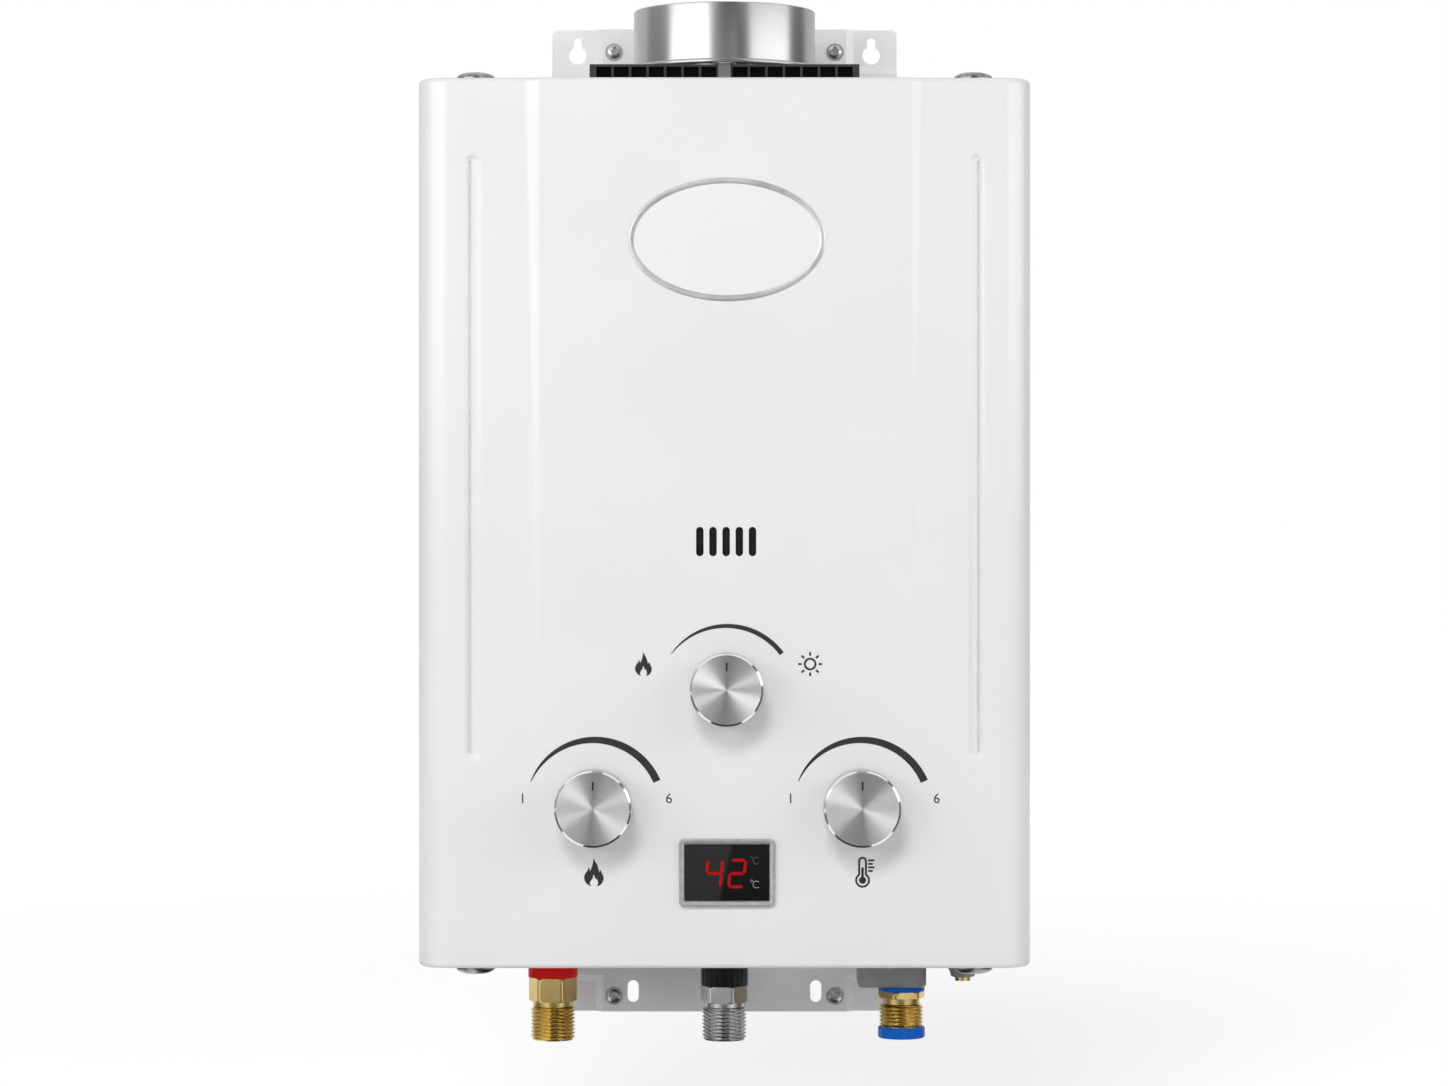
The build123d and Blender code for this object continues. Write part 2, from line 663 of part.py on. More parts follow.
# Flue collar: a round spigot, a foot whose shoulder stops the flue pipe, and a tab over the grille
with BuildPart() as flue_collar:
    flue_foot = (0, FLUE_Y, HOOD_TOP)
    flue_length = FLUE_RIM - HOOD_TOP
    foot_height = CASE_TOP + FLUE_SHOULDER_RISE - HOOD_TOP
    rod(flue_foot, (0, 0, 1), FLUE_R, flue_length)
    add(bar(flue_foot, (0, 0, 1), FLUE_R + FLUE_SHOULDER, FLUE_SIDES, foot_height))
    add(
        bar(flue_foot, (0, 0, 1), FLUE_R - FLUE_WALL, FLUE_SIDES, flue_length),
        mode=Mode.SUBTRACT,
    )
    tab_half = FLUE_TAB_WIDTH / 2
    tab_front = GRILLE_FRONT - 2 * FLUE_WALL
    tab_top = CASE_TOP + GRILLE_RISE + 2 * FLUE_WALL
    block(
        (-tab_half, tab_half),
        (tab_front, FLUE_Y - FLUE_R + FLUE_WALL / 2),
        (tab_top - FLUE_WALL, tab_top),
    )
    block((-tab_half, tab_half), (tab_front, tab_front + FLUE_WALL), (CASE_TOP, tab_top))
save("flue_collar", flue_collar)


# Vent grille: a moulded frame with windows in the front and sides, standing on the hood
with BuildPart() as top_vent_grille:
    grille_x = (-GRILLE_WIDTH / 2, GRILLE_WIDTH / 2)
    grille_y = (GRILLE_FRONT, GRILLE_FRONT + GRILLE_DEPTH)
    grille_top = CASE_TOP + GRILLE_RISE
    block(grille_x, grille_y, (HOOD_TOP, grille_top))
    block(
        (grille_x[0] + GRILLE_WALL, grille_x[1] - GRILLE_WALL),
        (grille_y[0] + GRILLE_WALL, grille_y[1] - GRILLE_WALL),
        (HOOD_TOP, grille_top - GRILLE_TOP),
        mode=Mode.SUBTRACT,
    )
    add(
        bar((0, FLUE_Y, HOOD_TOP), (0, 0, 1), FLUE_R + GRILLE_FLUE_GAP, FLUE_SIDES, 2 * GRILLE_RISE),
        mode=Mode.SUBTRACT,
    )
    sill = HOOD_TOP + GRILLE_SILL
    lintel = grille_top - GRILLE_TOP
    for index in range(GRILLE_FRONT_COUNT):
        for side in (-1, 1):
            x = side * (GRILLE_FIRST + index * GRILLE_PITCH)
            block(
                about(x, GRILLE_WINDOW / 2),
                (grille_y[0], grille_y[0] + GRILLE_WALL),
                (sill, lintel),
                mode=Mode.SUBTRACT,
            )
    for index in range(GRILLE_SIDE_COUNT):
        y = FLUE_Y + (index - (GRILLE_SIDE_COUNT - 1) / 2) * GRILLE_PITCH
        for wall in (grille_x[0], grille_x[1] - GRILLE_WALL):
            block(
                (wall, wall + GRILLE_WALL),
                about(y, GRILLE_WINDOW / 2),
                (sill, lintel),
                mode=Mode.SUBTRACT,
            )
save("top_vent_grille", top_vent_grille)


# Draught hood: a sheet funnel from the chamber's top up to the flue collar
def hood_form(inset):
    """The hood's outside, or its inside when drawn in by the sheet's thickness."""
    foot_x = CHAMBER_WIDTH / 2 - inset
    foot_y = CHAMBER_DEPTH / 2 - inset
    head_x = HOOD_TOP_WIDTH / 2 - inset
    head_y = HOOD_TOP_DEPTH / 2 - inset
    rise = HOOD_TOP - HOOD_NECK - CHAMBER_TOP
    with BuildPart() as form:
        block((-foot_x, foot_x), about(CORE_Y, head_y), (CHAMBER_TOP, CHAMBER_TOP + rise))
        for side in (-1, 1):
            flank = Plane(
                (side * foot_x, CORE_Y, CHAMBER_TOP),
                z_dir=(-side * rise, 0, head_x - foot_x),
            )
            split(bisect_by=flank, keep=Keep.TOP)
            apron = Plane(
                (0, CORE_Y + side * foot_y, CHAMBER_TOP),
                z_dir=(0, -side * rise, head_y - foot_y),
            )
            split(bisect_by=apron, keep=Keep.TOP)
        block((-head_x, head_x), about(CORE_Y, head_y), (CHAMBER_TOP + rise, HOOD_TOP - inset))
    return form.part


with BuildPart() as draught_hood:
    add(hood_form(0))
    block(
        (-CHAMBER_WIDTH / 2 - CHAMBER_FLANGE, CHAMBER_WIDTH / 2 + CHAMBER_FLANGE),
        (CORE_Y - CHAMBER_DEPTH / 2 - CHAMBER_FLANGE, CORE_Y + CHAMBER_DEPTH / 2 + CHAMBER_FLANGE),
        (CHAMBER_TOP, CHAMBER_TOP + HOOD_SHEET),
    )
    add(hood_form(HOOD_SHEET), mode=Mode.SUBTRACT)
    add(
        bar(
            (0, FLUE_Y, CHAMBER_TOP),
            (0, 0, 1),
            FLUE_R - 2 * FLUE_WALL,
            FLUE_SIDES,
            HOOD_TOP - CHAMBER_TOP,
        ),
        mode=Mode.SUBTRACT,
    )
save("draught_hood", draught_hood)


# Combustion chamber: a copper shaft with a flanged top, a sight opening and holes in its walls
CHAMBER_FRONT = CORE_Y - CHAMBER_DEPTH / 2
CHAMBER_BACK = CORE_Y + CHAMBER_DEPTH / 2
TUBE_ROWS = [CORE_Y - TUBE_PITCH, CORE_Y, CORE_Y + TUBE_PITCH]
ELECTRODE_Z = CHAMBER_BOTTOM + ELECTRODE_RISE
with BuildPart() as combustion_chamber:
    block(
        (-CHAMBER_WIDTH / 2, CHAMBER_WIDTH / 2),
        (CHAMBER_FRONT, CHAMBER_BACK),
        (CHAMBER_BOTTOM, CHAMBER_TOP),
    )
    block(
        (-CHAMBER_WIDTH / 2 - CHAMBER_FLANGE, CHAMBER_WIDTH / 2 + CHAMBER_FLANGE),
        (CHAMBER_FRONT - CHAMBER_FLANGE, CHAMBER_BACK + CHAMBER_FLANGE),
        (CHAMBER_TOP - CHAMBER_SHEET, CHAMBER_TOP),
    )
    block(
        (-CHAMBER_WIDTH / 2 + CHAMBER_SHEET, CHAMBER_WIDTH / 2 - CHAMBER_SHEET),
        (CHAMBER_FRONT + CHAMBER_SHEET, CHAMBER_BACK - CHAMBER_SHEET),
        (CHAMBER_BOTTOM, CHAMBER_TOP),
        mode=Mode.SUBTRACT,
    )
    block(
        (VIEW_X - WINDOW_WIDTH / 2 + WINDOW_LAP, VIEW_X + WINDOW_WIDTH / 2 - WINDOW_LAP),
        (CHAMBER_FRONT, CHAMBER_FRONT + CHAMBER_SHEET),
        (VIEW_Z - WINDOW_HEIGHT / 2 + WINDOW_LAP, VIEW_Z + WINDOW_HEIGHT / 2 - WINDOW_LAP),
        mode=Mode.SUBTRACT,
    )
    for y in TUBE_ROWS:
        with BuildSketch(Plane.YZ.offset(-CHAMBER_WIDTH)):
            with Locations((y, TUBE_Z)):
                RegularPolygon(TUBE_R + TUBE_GAP, SEAL_SIDES, major_radius=False)
        extrude(amount=2 * CHAMBER_WIDTH, mode=Mode.SUBTRACT)
    for side in (-1, 1):
        hole = ELECTRODE_R + TUBE_GAP
        block(
            about(side * ELECTRODE_X, hole),
            (CHAMBER_FRONT, CHAMBER_FRONT + CHAMBER_SHEET),
            about(ELECTRODE_Z, hole),
            mode=Mode.SUBTRACT,
        )
save("combustion_chamber", combustion_chamber)


# Fins: thin copper plates, slotted from below and pushed down over the three passes of the tube
with BuildPart() as exchanger_fins:
    for index in range(FIN_COUNT):
        x = -FIN_SPAN / 2 + index * FIN_SPAN / (FIN_COUNT - 1)
        with BuildSketch(Plane.YZ.offset(x - FIN_SHEET / 2)):
            with Locations((CORE_Y, TUBE_Z)):
                Rectangle(CHAMBER_DEPTH - 2 * CHAMBER_SHEET - 2 * FIN_EDGE_GAP, FIN_HEIGHT)
            slot = FIN_HEIGHT / 2 + TUBE_R + TUBE_GAP
            with Locations(*[(y, TUBE_Z - FIN_HEIGHT / 2 + slot / 2) for y in TUBE_ROWS]):
                Rectangle(2 * (TUBE_R + TUBE_GAP), slot, mode=Mode.SUBTRACT)
        extrude(amount=FIN_SHEET)
save("exchanger_fins", exchanger_fins)


# Water tube: three passes through the fins, joined by return bends outside the chamber
with BuildPart() as exchanger_tube:
    turn = TUBE_END + PIPE_BEND
    with BuildLine() as course:
        Polyline(
            (TUBE_END, TUBE_ROWS[0], TUBE_Z),
            (-turn, TUBE_ROWS[0], TUBE_Z),
            (-turn - PIPE_BEND, (TUBE_ROWS[0] + TUBE_ROWS[1]) / 2, TUBE_Z),
            (-turn, TUBE_ROWS[1], TUBE_Z),
            (turn, TUBE_ROWS[1], TUBE_Z),
            (turn + PIPE_BEND, (TUBE_ROWS[1] + TUBE_ROWS[2]) / 2, TUBE_Z),
            (turn, TUBE_ROWS[2], TUBE_Z),
            (-TUBE_END, TUBE_ROWS[2], TUBE_Z),
        )
    with BuildSketch(Plane((TUBE_END, TUBE_ROWS[0], TUBE_Z), z_dir=(-1, 0, 0))):
        RegularPolygon(TUBE_R, PIPE_SIDES, major_radius=False)
    sweep(path=course.line, transition=Transition.RIGHT)
save("exchanger_tube", exchanger_tube)


# Hat-section straps that hold the chamber off the back plate
with BuildPart() as chamber_straps:
    for z in (CHAMBER_BOTTOM + STRAP_INSET, CHAMBER_TOP - STRAP_INSET - STRAP_HEIGHT):
        block((-STRAP_WIDTH / 2, STRAP_WIDTH / 2), (CHAMBER_BACK, PLATE_FRONT), (z, z + STRAP_HEIGHT))
        block(
            (-STRAP_WIDTH / 2 + STRAP_SHEET, STRAP_WIDTH / 2 - STRAP_SHEET),
            (CHAMBER_BACK + STRAP_SHEET, PLATE_FRONT),
            (z, z + STRAP_HEIGHT),
            mode=Mode.SUBTRACT,
        )
save("chamber_straps", chamber_straps)


# Mica pane behind the viewing slots
with BuildPart() as viewing_window:
    block(
        about(VIEW_X, WINDOW_WIDTH / 2),
        (CHAMBER_FRONT - WINDOW_PANE, CHAMBER_FRONT),
        about(VIEW_Z, WINDOW_HEIGHT / 2),
    )
save("viewing_window", viewing_window)


# Burner tray: four walls, a flange under the chamber, ledges for the bars, legs and manifold ears
TRAY_BOTTOM = TRAY_TOP - TRAY_HEIGHT
BURNERS = [(index - (BURNER_COUNT - 1) / 2) * BURNER_PITCH for index in range(BURNER_COUNT)]
MANIFOLD_Z = (MANIFOLD_TOP + MANIFOLD_BOTTOM) / 2
with BuildPart() as burner_tray:
    inner_x = (-TRAY_WIDTH / 2 + TRAY_SHEET, TRAY_WIDTH / 2 - TRAY_SHEET)
    inner_y = (TRAY_FRONT + TRAY_SHEET, TRAY_BACK - TRAY_SHEET)
    block((-TRAY_WIDTH / 2, TRAY_WIDTH / 2), (TRAY_FRONT, TRAY_BACK), (TRAY_BOTTOM, TRAY_TOP))
    block(
        (-TRAY_WIDTH / 2 - TRAY_FLANGE, TRAY_WIDTH / 2 + TRAY_FLANGE),
        (TRAY_FRONT - TRAY_FLANGE, TRAY_BACK + TRAY_FLANGE),
        (TRAY_TOP - TRAY_SHEET, TRAY_TOP),
    )
    block(inner_x, inner_y, (TRAY_BOTTOM + TRAY_SHEET, TRAY_TOP), mode=Mode.SUBTRACT)
    block(
        inner_x,
        (inner_y[0] + TRAY_LEDGE, inner_y[1] - TRAY_LEDGE),
        (TRAY_BOTTOM, TRAY_TOP),
        mode=Mode.SUBTRACT,
    )
    for x in BURNERS:
        block(
            about(x, AIR_HOLE / 2),
            (TRAY_FRONT, inner_y[0]),
            about(MANIFOLD_Z, AIR_HOLE / 2),
            mode=Mode.SUBTRACT,
        )
    for side in (-1, 1):
        leg_x = about(side * TRAY_LEG_X, TRAY_LEG_WIDTH / 2)
        block(leg_x, (TRAY_BACK, PLATE_FRONT), (TRAY_BOTTOM, TRAY_BOTTOM + TRAY_SHEET))
        block(
            leg_x,
            (PLATE_FRONT - TRAY_SHEET, PLATE_FRONT),
            (TRAY_BOTTOM, TRAY_BOTTOM + TRAY_LEG_FOOT),
        )
        block(
            sorted((side * MANIFOLD_HALF, side * (MANIFOLD_HALF + 2 * TRAY_SHEET))),
            (MANIFOLD_FRONT, TRAY_FRONT),
            (MANIFOLD_BOTTOM + TRAY_SHEET, MANIFOLD_TOP),
        )
save("burner_tray", burner_tray)


# Burner bars: flat boxes with flame ports along the top and a mouth at the front
with BuildPart() as burner_bars:
    bar_bottom = TRAY_BOTTOM + TRAY_SHEET
    bar_top = bar_bottom + BURNER_HEIGHT
    port_pitch = (TRAY_DEPTH - 2 * TRAY_SHEET) / BURNER_PORTS
    for x in BURNERS:
        block(about(x, BURNER_WIDTH / 2), inner_y, (bar_bottom, bar_top))
        for index in range(BURNER_PORTS):
            y = inner_y[0] + (index + 0.5) * port_pitch
            block(
                about(x, BURNER_PORT_SPAN / 2),
                about(y, BURNER_PORT / 2),
                (bar_top - BURNER_PORT_DEPTH, bar_top),
                mode=Mode.SUBTRACT,
            )
        block(
            about(x, AIR_HOLE / 2),
            (inner_y[0], inner_y[0] + AIR_HOLE),
            about(MANIFOLD_Z, AIR_HOLE / 2),
            mode=Mode.SUBTRACT,
        )
save("burner_bars", burner_bars)


# Gas manifold across the front of the burner, with one jet for each bar
with BuildPart() as gas_manifold:
    block(
        (-MANIFOLD_HALF, MANIFOLD_HALF),
        (MANIFOLD_FRONT, MANIFOLD_BACK),
        (MANIFOLD_BOTTOM, MANIFOLD_TOP),
    )
    chamfer(gas_manifold.faces().sort_by(Axis.Z)[-1].edges().filter_by(Axis.X), JET_R)
save("gas_manifold", gas_manifold)

with BuildPart() as gas_jets:
    for x in BURNERS:
        with BuildSketch(Plane((x, MANIFOLD_BACK, MANIFOLD_Z), x_dir=(1, 0, 0), z_dir=(0, 1, 0))):
            RegularPolygon(JET_R, HEX_SIDES)
        extrude(amount=JET_LENGTH)
save("gas_jets", gas_jets)


# Season valve: carries the manifold and sets how many bars burn
SEASON_BOTTOM = SEASON_Z - SEASON_VALVE_BELOW
SEASON_FRONT = MANIFOLD_FRONT + CASTING_CORNER
with BuildPart() as season_valve:
    with BuildSketch(Plane.XY.offset(SEASON_BOTTOM)):
        with Locations((SEASON_X, (SEASON_FRONT + VALVE_Y) / 2)):
            Rectangle(2 * SEASON_VALVE_HALF, VALVE_Y - SEASON_FRONT)
    extrude(amount=MANIFOLD_BOTTOM - SEASON_BOTTOM)
    chamfer(season_valve.edges().filter_by(Axis.Z), CASTING_CORNER)
    rod(
        (SEASON_X, SEASON_FRONT + SPINDLE_GRIP, SEASON_Z),
        (0, -1, 0),
        SPINDLE_R + RUNNING_GAP,
        2 * SPINDLE_GRIP,
        mode=Mode.SUBTRACT,
    )
save("season_valve", season_valve)


# Gas valve: one casting with a spindle boss, a riser to the season valve and posts to the water valve
with BuildPart() as gas_valve:
    with BuildSketch(Plane.XZ.offset(-VALVE_BACK)):
        with Locations(((GAS_VALVE_LEFT + GAS_VALVE_RIGHT) / 2, LOWER_KNOB_Z)):
            Rectangle(GAS_VALVE_RIGHT - GAS_VALVE_LEFT, GAS_VALVE_HEIGHT)
    extrude(amount=VALVE_BACK - VALVE_FRONT)
    chamfer(gas_valve.edges().filter_by(Axis.Y), CASTING_CORNER)
    block(about(SEASON_X, RISER_HALF), (VALVE_FRONT, VALVE_Y), (LOWER_KNOB_Z, SEASON_BOTTOM))
    with BuildSketch(Plane.XZ.offset(-VALVE_FRONT)):
        with Locations((GAS_KNOB_X, LOWER_KNOB_Z)):
            RegularPolygon(SPINDLE_R + BOSS_WALL, HEX_SIDES)
    extrude(amount=BOSS_REACH)
    for side in (-1, 1):
        post_y = VALVE_Y + side * POST_SPREAD
        block(
            (GAS_VALVE_RIGHT - POST_SIDE, WATER_COVER_LEFT),
            about(post_y, POST_SIDE / 2),
            about(LOWER_KNOB_Z, POST_SIDE / 2),
        )
    rod(
        (GAS_KNOB_X, VALVE_FRONT - BOSS_REACH + SPINDLE_GRIP, LOWER_KNOB_Z),
        (0, -1, 0),
        SPINDLE_R + RUNNING_GAP,
        2 * SPINDLE_GRIP,
        mode=Mode.SUBTRACT,
    )
    guide = ROD_R + RUNNING_GAP
    block(
        (GAS_VALVE_RIGHT - ROD_ENGAGE - 2 * ROD_TRAVEL, GAS_VALVE_RIGHT),
        about(VALVE_Y, guide),
        about(LOWER_KNOB_Z, guide),
        mode=Mode.SUBTRACT,
    )
save("gas_valve", gas_valve)


# Diaphragm cover, diaphragm and push rod between the water valve and the gas valve
with BuildPart() as diaphragm_cover:
    with BuildSketch(Plane((WATER_COVER_LEFT, VALVE_Y, LOWER_KNOB_Z), z_dir=(1, 0, 0))):
        RegularPolygon(DIAPHRAGM_R, DIAPHRAGM_SIDES)
    extrude(amount=DIAPHRAGM_COVER)
    hollow_left = WATER_COVER_LEFT + DIAPHRAGM_FLOOR
    with BuildSketch(Plane((hollow_left, VALVE_Y, LOWER_KNOB_Z), z_dir=(1, 0, 0))):
        RegularPolygon(DIAPHRAGM_R - DIAPHRAGM_SEAT, DIAPHRAGM_SIDES)
    extrude(amount=DIAPHRAGM_COVER - DIAPHRAGM_FLOOR, mode=Mode.SUBTRACT)
    block(
        (WATER_COVER_LEFT, WATER_COVER_LEFT + DIAPHRAGM_FLOOR),
        about(VALVE_Y, guide),
        about(LOWER_KNOB_Z, guide),
        mode=Mode.SUBTRACT,
    )
save("diaphragm_cover", diaphragm_cover)

with BuildPart() as diaphragm:
    with BuildSketch(Plane((DIAPHRAGM_LEFT, VALVE_Y, LOWER_KNOB_Z), z_dir=(1, 0, 0))):
        RegularPolygon(DIAPHRAGM_R, DIAPHRAGM_SIDES)
    extrude(amount=DIAPHRAGM)
save("diaphragm", diaphragm)

with BuildPart() as push_rod:
    plate_right = DIAPHRAGM_LEFT - ROD_PLATE_GAP
    rod_left = GAS_VALVE_RIGHT - ROD_ENGAGE
    block((rod_left, plate_right), about(VALVE_Y, ROD_R), about(LOWER_KNOB_Z, ROD_R))
    with BuildSketch(Plane((plate_right - ROD_PLATE, VALVE_Y, LOWER_KNOB_Z), z_dir=(1, 0, 0))):
        RegularPolygon(ROD_PLATE_R, DIAPHRAGM_SIDES)
    extrude(amount=ROD_PLATE)
save("push_rod", push_rod)

with BuildPart() as micro_switch:
    plunger_bottom = LOWER_KNOB_Z + ROD_R + SWITCH_ROD_GAP
    switch_x = (GAS_VALVE_RIGHT, GAS_VALVE_RIGHT + SWITCH_LENGTH)
    plunger_x = GAS_VALVE_RIGHT + SWITCH_LENGTH / 2
    block(
        switch_x,
        about(VALVE_Y, SWITCH_WIDTH / 2),
        (plunger_bottom + SWITCH_PLUNGER, plunger_bottom + SWITCH_PLUNGER + SWITCH_HEIGHT),
    )
    block(
        about(plunger_x, SWITCH_PLUNGER / 2),
        about(VALVE_Y, SWITCH_PLUNGER / 2),
        (plunger_bottom, plunger_bottom + SWITCH_PLUNGER),
    )
save("micro_switch", micro_switch)


# Water valve: the diaphragm's other half, the flow block with its spindle boss, and the inlet leg
WATER_BLOCK_BOTTOM = LOWER_KNOB_Z - WATER_BLOCK_HEIGHT / 2
WATER_BLOCK_TOP = LOWER_KNOB_Z + WATER_BLOCK_HEIGHT / 2
with BuildPart() as water_valve:
    with BuildSketch(Plane((WATER_DISC_LEFT, VALVE_Y, LOWER_KNOB_Z), z_dir=(1, 0, 0))):
        RegularPolygon(DIAPHRAGM_R, DIAPHRAGM_SIDES)
    extrude(amount=CHAMBER_DISC)
    block(
        (WATER_BLOCK_LEFT, WATER_BLOCK_RIGHT),
        (VALVE_FRONT, VALVE_BACK),
        (WATER_BLOCK_BOTTOM, WATER_BLOCK_TOP),
    )
    with BuildSketch(Plane.XY.offset(WATER_LEG_BOTTOM)):
        with Locations(((WATER_LEG_LEFT + WATER_LEG_RIGHT) / 2, FITTING_Y)):
            Rectangle(WATER_LEG_RIGHT - WATER_LEG_LEFT, 2 * WATER_LEG_HALF)
            chamfer(vertices(), CASTING_CORNER / 2)
    extrude(amount=WATER_BLOCK_BOTTOM - WATER_LEG_BOTTOM)
    chamfer(water_valve.faces().sort_by(Axis.Z)[0].edges(), BRACKET_SHEET)
    with BuildSketch(Plane.XZ.offset(-VALVE_FRONT)):
        with Locations((WATER_KNOB_X, LOWER_KNOB_Z)):
            RegularPolygon(SPINDLE_R + BOSS_WALL, HEX_SIDES)
    extrude(amount=BOSS_REACH)
    rod(
        (WATER_KNOB_X, VALVE_FRONT - BOSS_REACH + SPINDLE_GRIP, LOWER_KNOB_Z),
        (0, -1, 0),
        SPINDLE_R + RUNNING_GAP,
        2 * SPINDLE_GRIP,
        mode=Mode.SUBTRACT,
    )
save("water_valve", water_valve)


# Knobs and their spindles
KNOB_BACK = -CASE_DEPTH - KNOB_GAP


def knob(x, z):
    """A turned cap with a square socket for the spindle."""
    with BuildPart() as cap:
        rod((x, KNOB_BACK, z), (0, -1, 0), KNOB_R, KNOB_LENGTH)
        socket = SPINDLE_SIDE / 2 + RUNNING_GAP
        block(
            about(x, socket),
            (KNOB_BACK - KNOB_GRIP, KNOB_BACK),
            about(z, socket),
            mode=Mode.SUBTRACT,
        )
    return cap.part


def spindle(x, z, seat):
    """A square bar from the floor of a valve's round bore to the floor of the knob's socket."""
    half = SPINDLE_SIDE / 2
    with BuildPart() as bar:
        block(about(x, half), (KNOB_BACK - KNOB_GRIP, seat + SPINDLE_GRIP), about(z, half))
    return bar.part


CONTROLS = {
    "season": (SEASON_X, SEASON_Z, SEASON_FRONT),
    "gas": (GAS_KNOB_X, LOWER_KNOB_Z, VALVE_FRONT - BOSS_REACH),
    "water_temperature": (WATER_KNOB_X, LOWER_KNOB_Z, VALVE_FRONT - BOSS_REACH),
}
for control, (x, z, seat) in CONTROLS.items():
    with BuildPart() as control_knob:
        add(knob(x, z))
    save(f"{control}_knob", control_knob)
    with BuildPart() as control_spindle:
        add(spindle(x, z, seat))
    save(f"{control}_spindle", control_spindle)


# Temperature display: bezel on the skin, lens in the bezel, board housing behind the skin
LENS_WIDTH = BEZEL_WIDTH - 2 * BEZEL_BORDER - 2 * LENS_GAP
LENS_HEIGHT = BEZEL_HEIGHT - 2 * BEZEL_BORDER - 2 * LENS_GAP
with BuildPart() as display_bezel:
    with BuildSketch(FRONT):
        with Locations((DISPLAY_X, DISPLAY_Z)):
            Rectangle(BEZEL_WIDTH, BEZEL_HEIGHT)
        chamfer(vertices(), BEZEL_CORNER)
        with Locations((DISPLAY_X, DISPLAY_Z)):
            Rectangle(
                BEZEL_WIDTH - 2 * BEZEL_BORDER,
                BEZEL_HEIGHT - 2 * BEZEL_BORDER,
                mode=Mode.SUBTRACT,
            )
    extrude(amount=BEZEL_PROUD)
save("display_bezel", display_bezel)

with BuildPart() as display_lens:
    block(
        about(DISPLAY_X, LENS_WIDTH / 2),
        (-CASE_DEPTH - BEZEL_PROUD + LENS_RECESS, SKIN_INSIDE),
        about(DISPLAY_Z, LENS_HEIGHT / 2),
    )
save("display_lens", display_lens)

with BuildPart() as display_board:
    block(
        (DISPLAY_X - BEZEL_WIDTH / 2 - DISPLAY_LAP, DISPLAY_X + BEZEL_WIDTH / 2 + DISPLAY_LAP),
        (SKIN_INSIDE, SKIN_INSIDE + DISPLAY_BACK),
        (DISPLAY_Z - BEZEL_HEIGHT / 2 - DISPLAY_LAP, DISPLAY_Z + BEZEL_HEIGHT / 2 + DISPLAY_LAP),
    )
save("display_board", display_board)


# Hot water outlet: threaded brass fitting, red ring, and the pipe up to the exchanger
HEX_BOTTOM = CASE_BOTTOM - THREAD_BOTTOM + THREAD_LENGTH


def threaded_fitting(x, hex_top, spigot_top):
    """A fitting with a spigot into the casing, a hexagon, a half-inch thread and a bore."""
    thread_end = CASE_BOTTOM - THREAD_BOTTOM
    with BuildPart() as fitting:
        rod((x, FITTING_Y, thread_end), (0, 0, 1), THREAD_R, THREAD_LENGTH)
        with BuildSketch(Plane.XY.offset(HEX_BOTTOM)):
            with Locations((x, FITTING_Y)):
                RegularPolygon(HEX_FLATS / 2, HEX_SIDES, major_radius=False)
        extrude(amount=hex_top - HEX_BOTTOM)
        rod((x, FITTING_Y, hex_top), (0, 0, 1), SPIGOT_R, spigot_top - hex_top)
        add(
            bar((x, FITTING_Y, thread_end), (0, 0, 1), BORE_R, BORE_SIDES, BORE_DEPTH),
            mode=Mode.SUBTRACT,
        )
    return fitting.part


def sealing_ring(x, bottom, height, radius):
    """A ring with an eight-sided hole that bears on a fitting's spigot."""
    with BuildPart() as ring:
        add(bar((x, FITTING_Y, bottom), (0, 0, 1), radius, RING_SIDES, height))
        with BuildSketch(Plane.XY.offset(bottom)):
            with Locations((x, FITTING_Y)):
                RegularPolygon(SPIGOT_R + SEAL_GAP, SEAL_SIDES, major_radius=False)
        extrude(amount=height, mode=Mode.SUBTRACT)
    return ring.part


HOT_HEX_TOP = CASE_BOTTOM - HOT_RING_DROP
GAS_HEX_TOP = CASE_BOTTOM - GLAND_DROP
with BuildPart() as hot_outlet_fitting:
    add(threaded_fitting(HOT_X, HOT_HEX_TOP, CASE_BOTTOM + SPIGOT_RISE))
save("hot_outlet_fitting", hot_outlet_fitting)

with BuildPart() as hot_outlet_ring:
    add(sealing_ring(HOT_X, HOT_HEX_TOP, HOT_RING_DROP, HOT_RING_R))
save("hot_outlet_ring", hot_outlet_ring)

with BuildPart() as hot_outlet_pipe:
    hot_row = TUBE_ROWS[2]
    hot_start = (HOT_X, FITTING_Y, CASE_BOTTOM + SPIGOT_RISE)
    turn_z = CASE_BOTTOM + HOT_TURN_RISE
    with BuildLine() as course:
        Polyline(
            hot_start,
            (HOT_X, FITTING_Y, turn_z),
            (HOT_PIPE_X, hot_row, turn_z + HOT_X - HOT_PIPE_X),
            (HOT_PIPE_X, hot_row, TUBE_Z - PIPE_BEND),
            (HOT_PIPE_X + PIPE_BEND, hot_row, TUBE_Z),
            (-TUBE_END, hot_row, TUBE_Z),
        )
    with BuildSketch(Plane(hot_start, z_dir=(0, 0, 1))):
        RegularPolygon(TUBE_R, PIPE_SIDES, major_radius=False)
    sweep(path=course.line, transition=Transition.RIGHT)
save("hot_outlet_pipe", hot_outlet_pipe)


# Gas inlet: one threaded pipe up to the gas valve, with a black sleeve where it leaves the casing
with BuildPart() as gas_inlet_pipe:
    add(threaded_fitting(GAS_X, GAS_HEX_TOP, GAS_VALVE_BOTTOM))
save("gas_inlet_pipe", gas_inlet_pipe)

with BuildPart() as gas_inlet_sleeve:
    add(sealing_ring(GAS_X, GAS_HEX_TOP, GLAND_DROP + SPIGOT_RISE / 2, GLAND_R))
save("gas_inlet_sleeve", gas_inlet_sleeve)


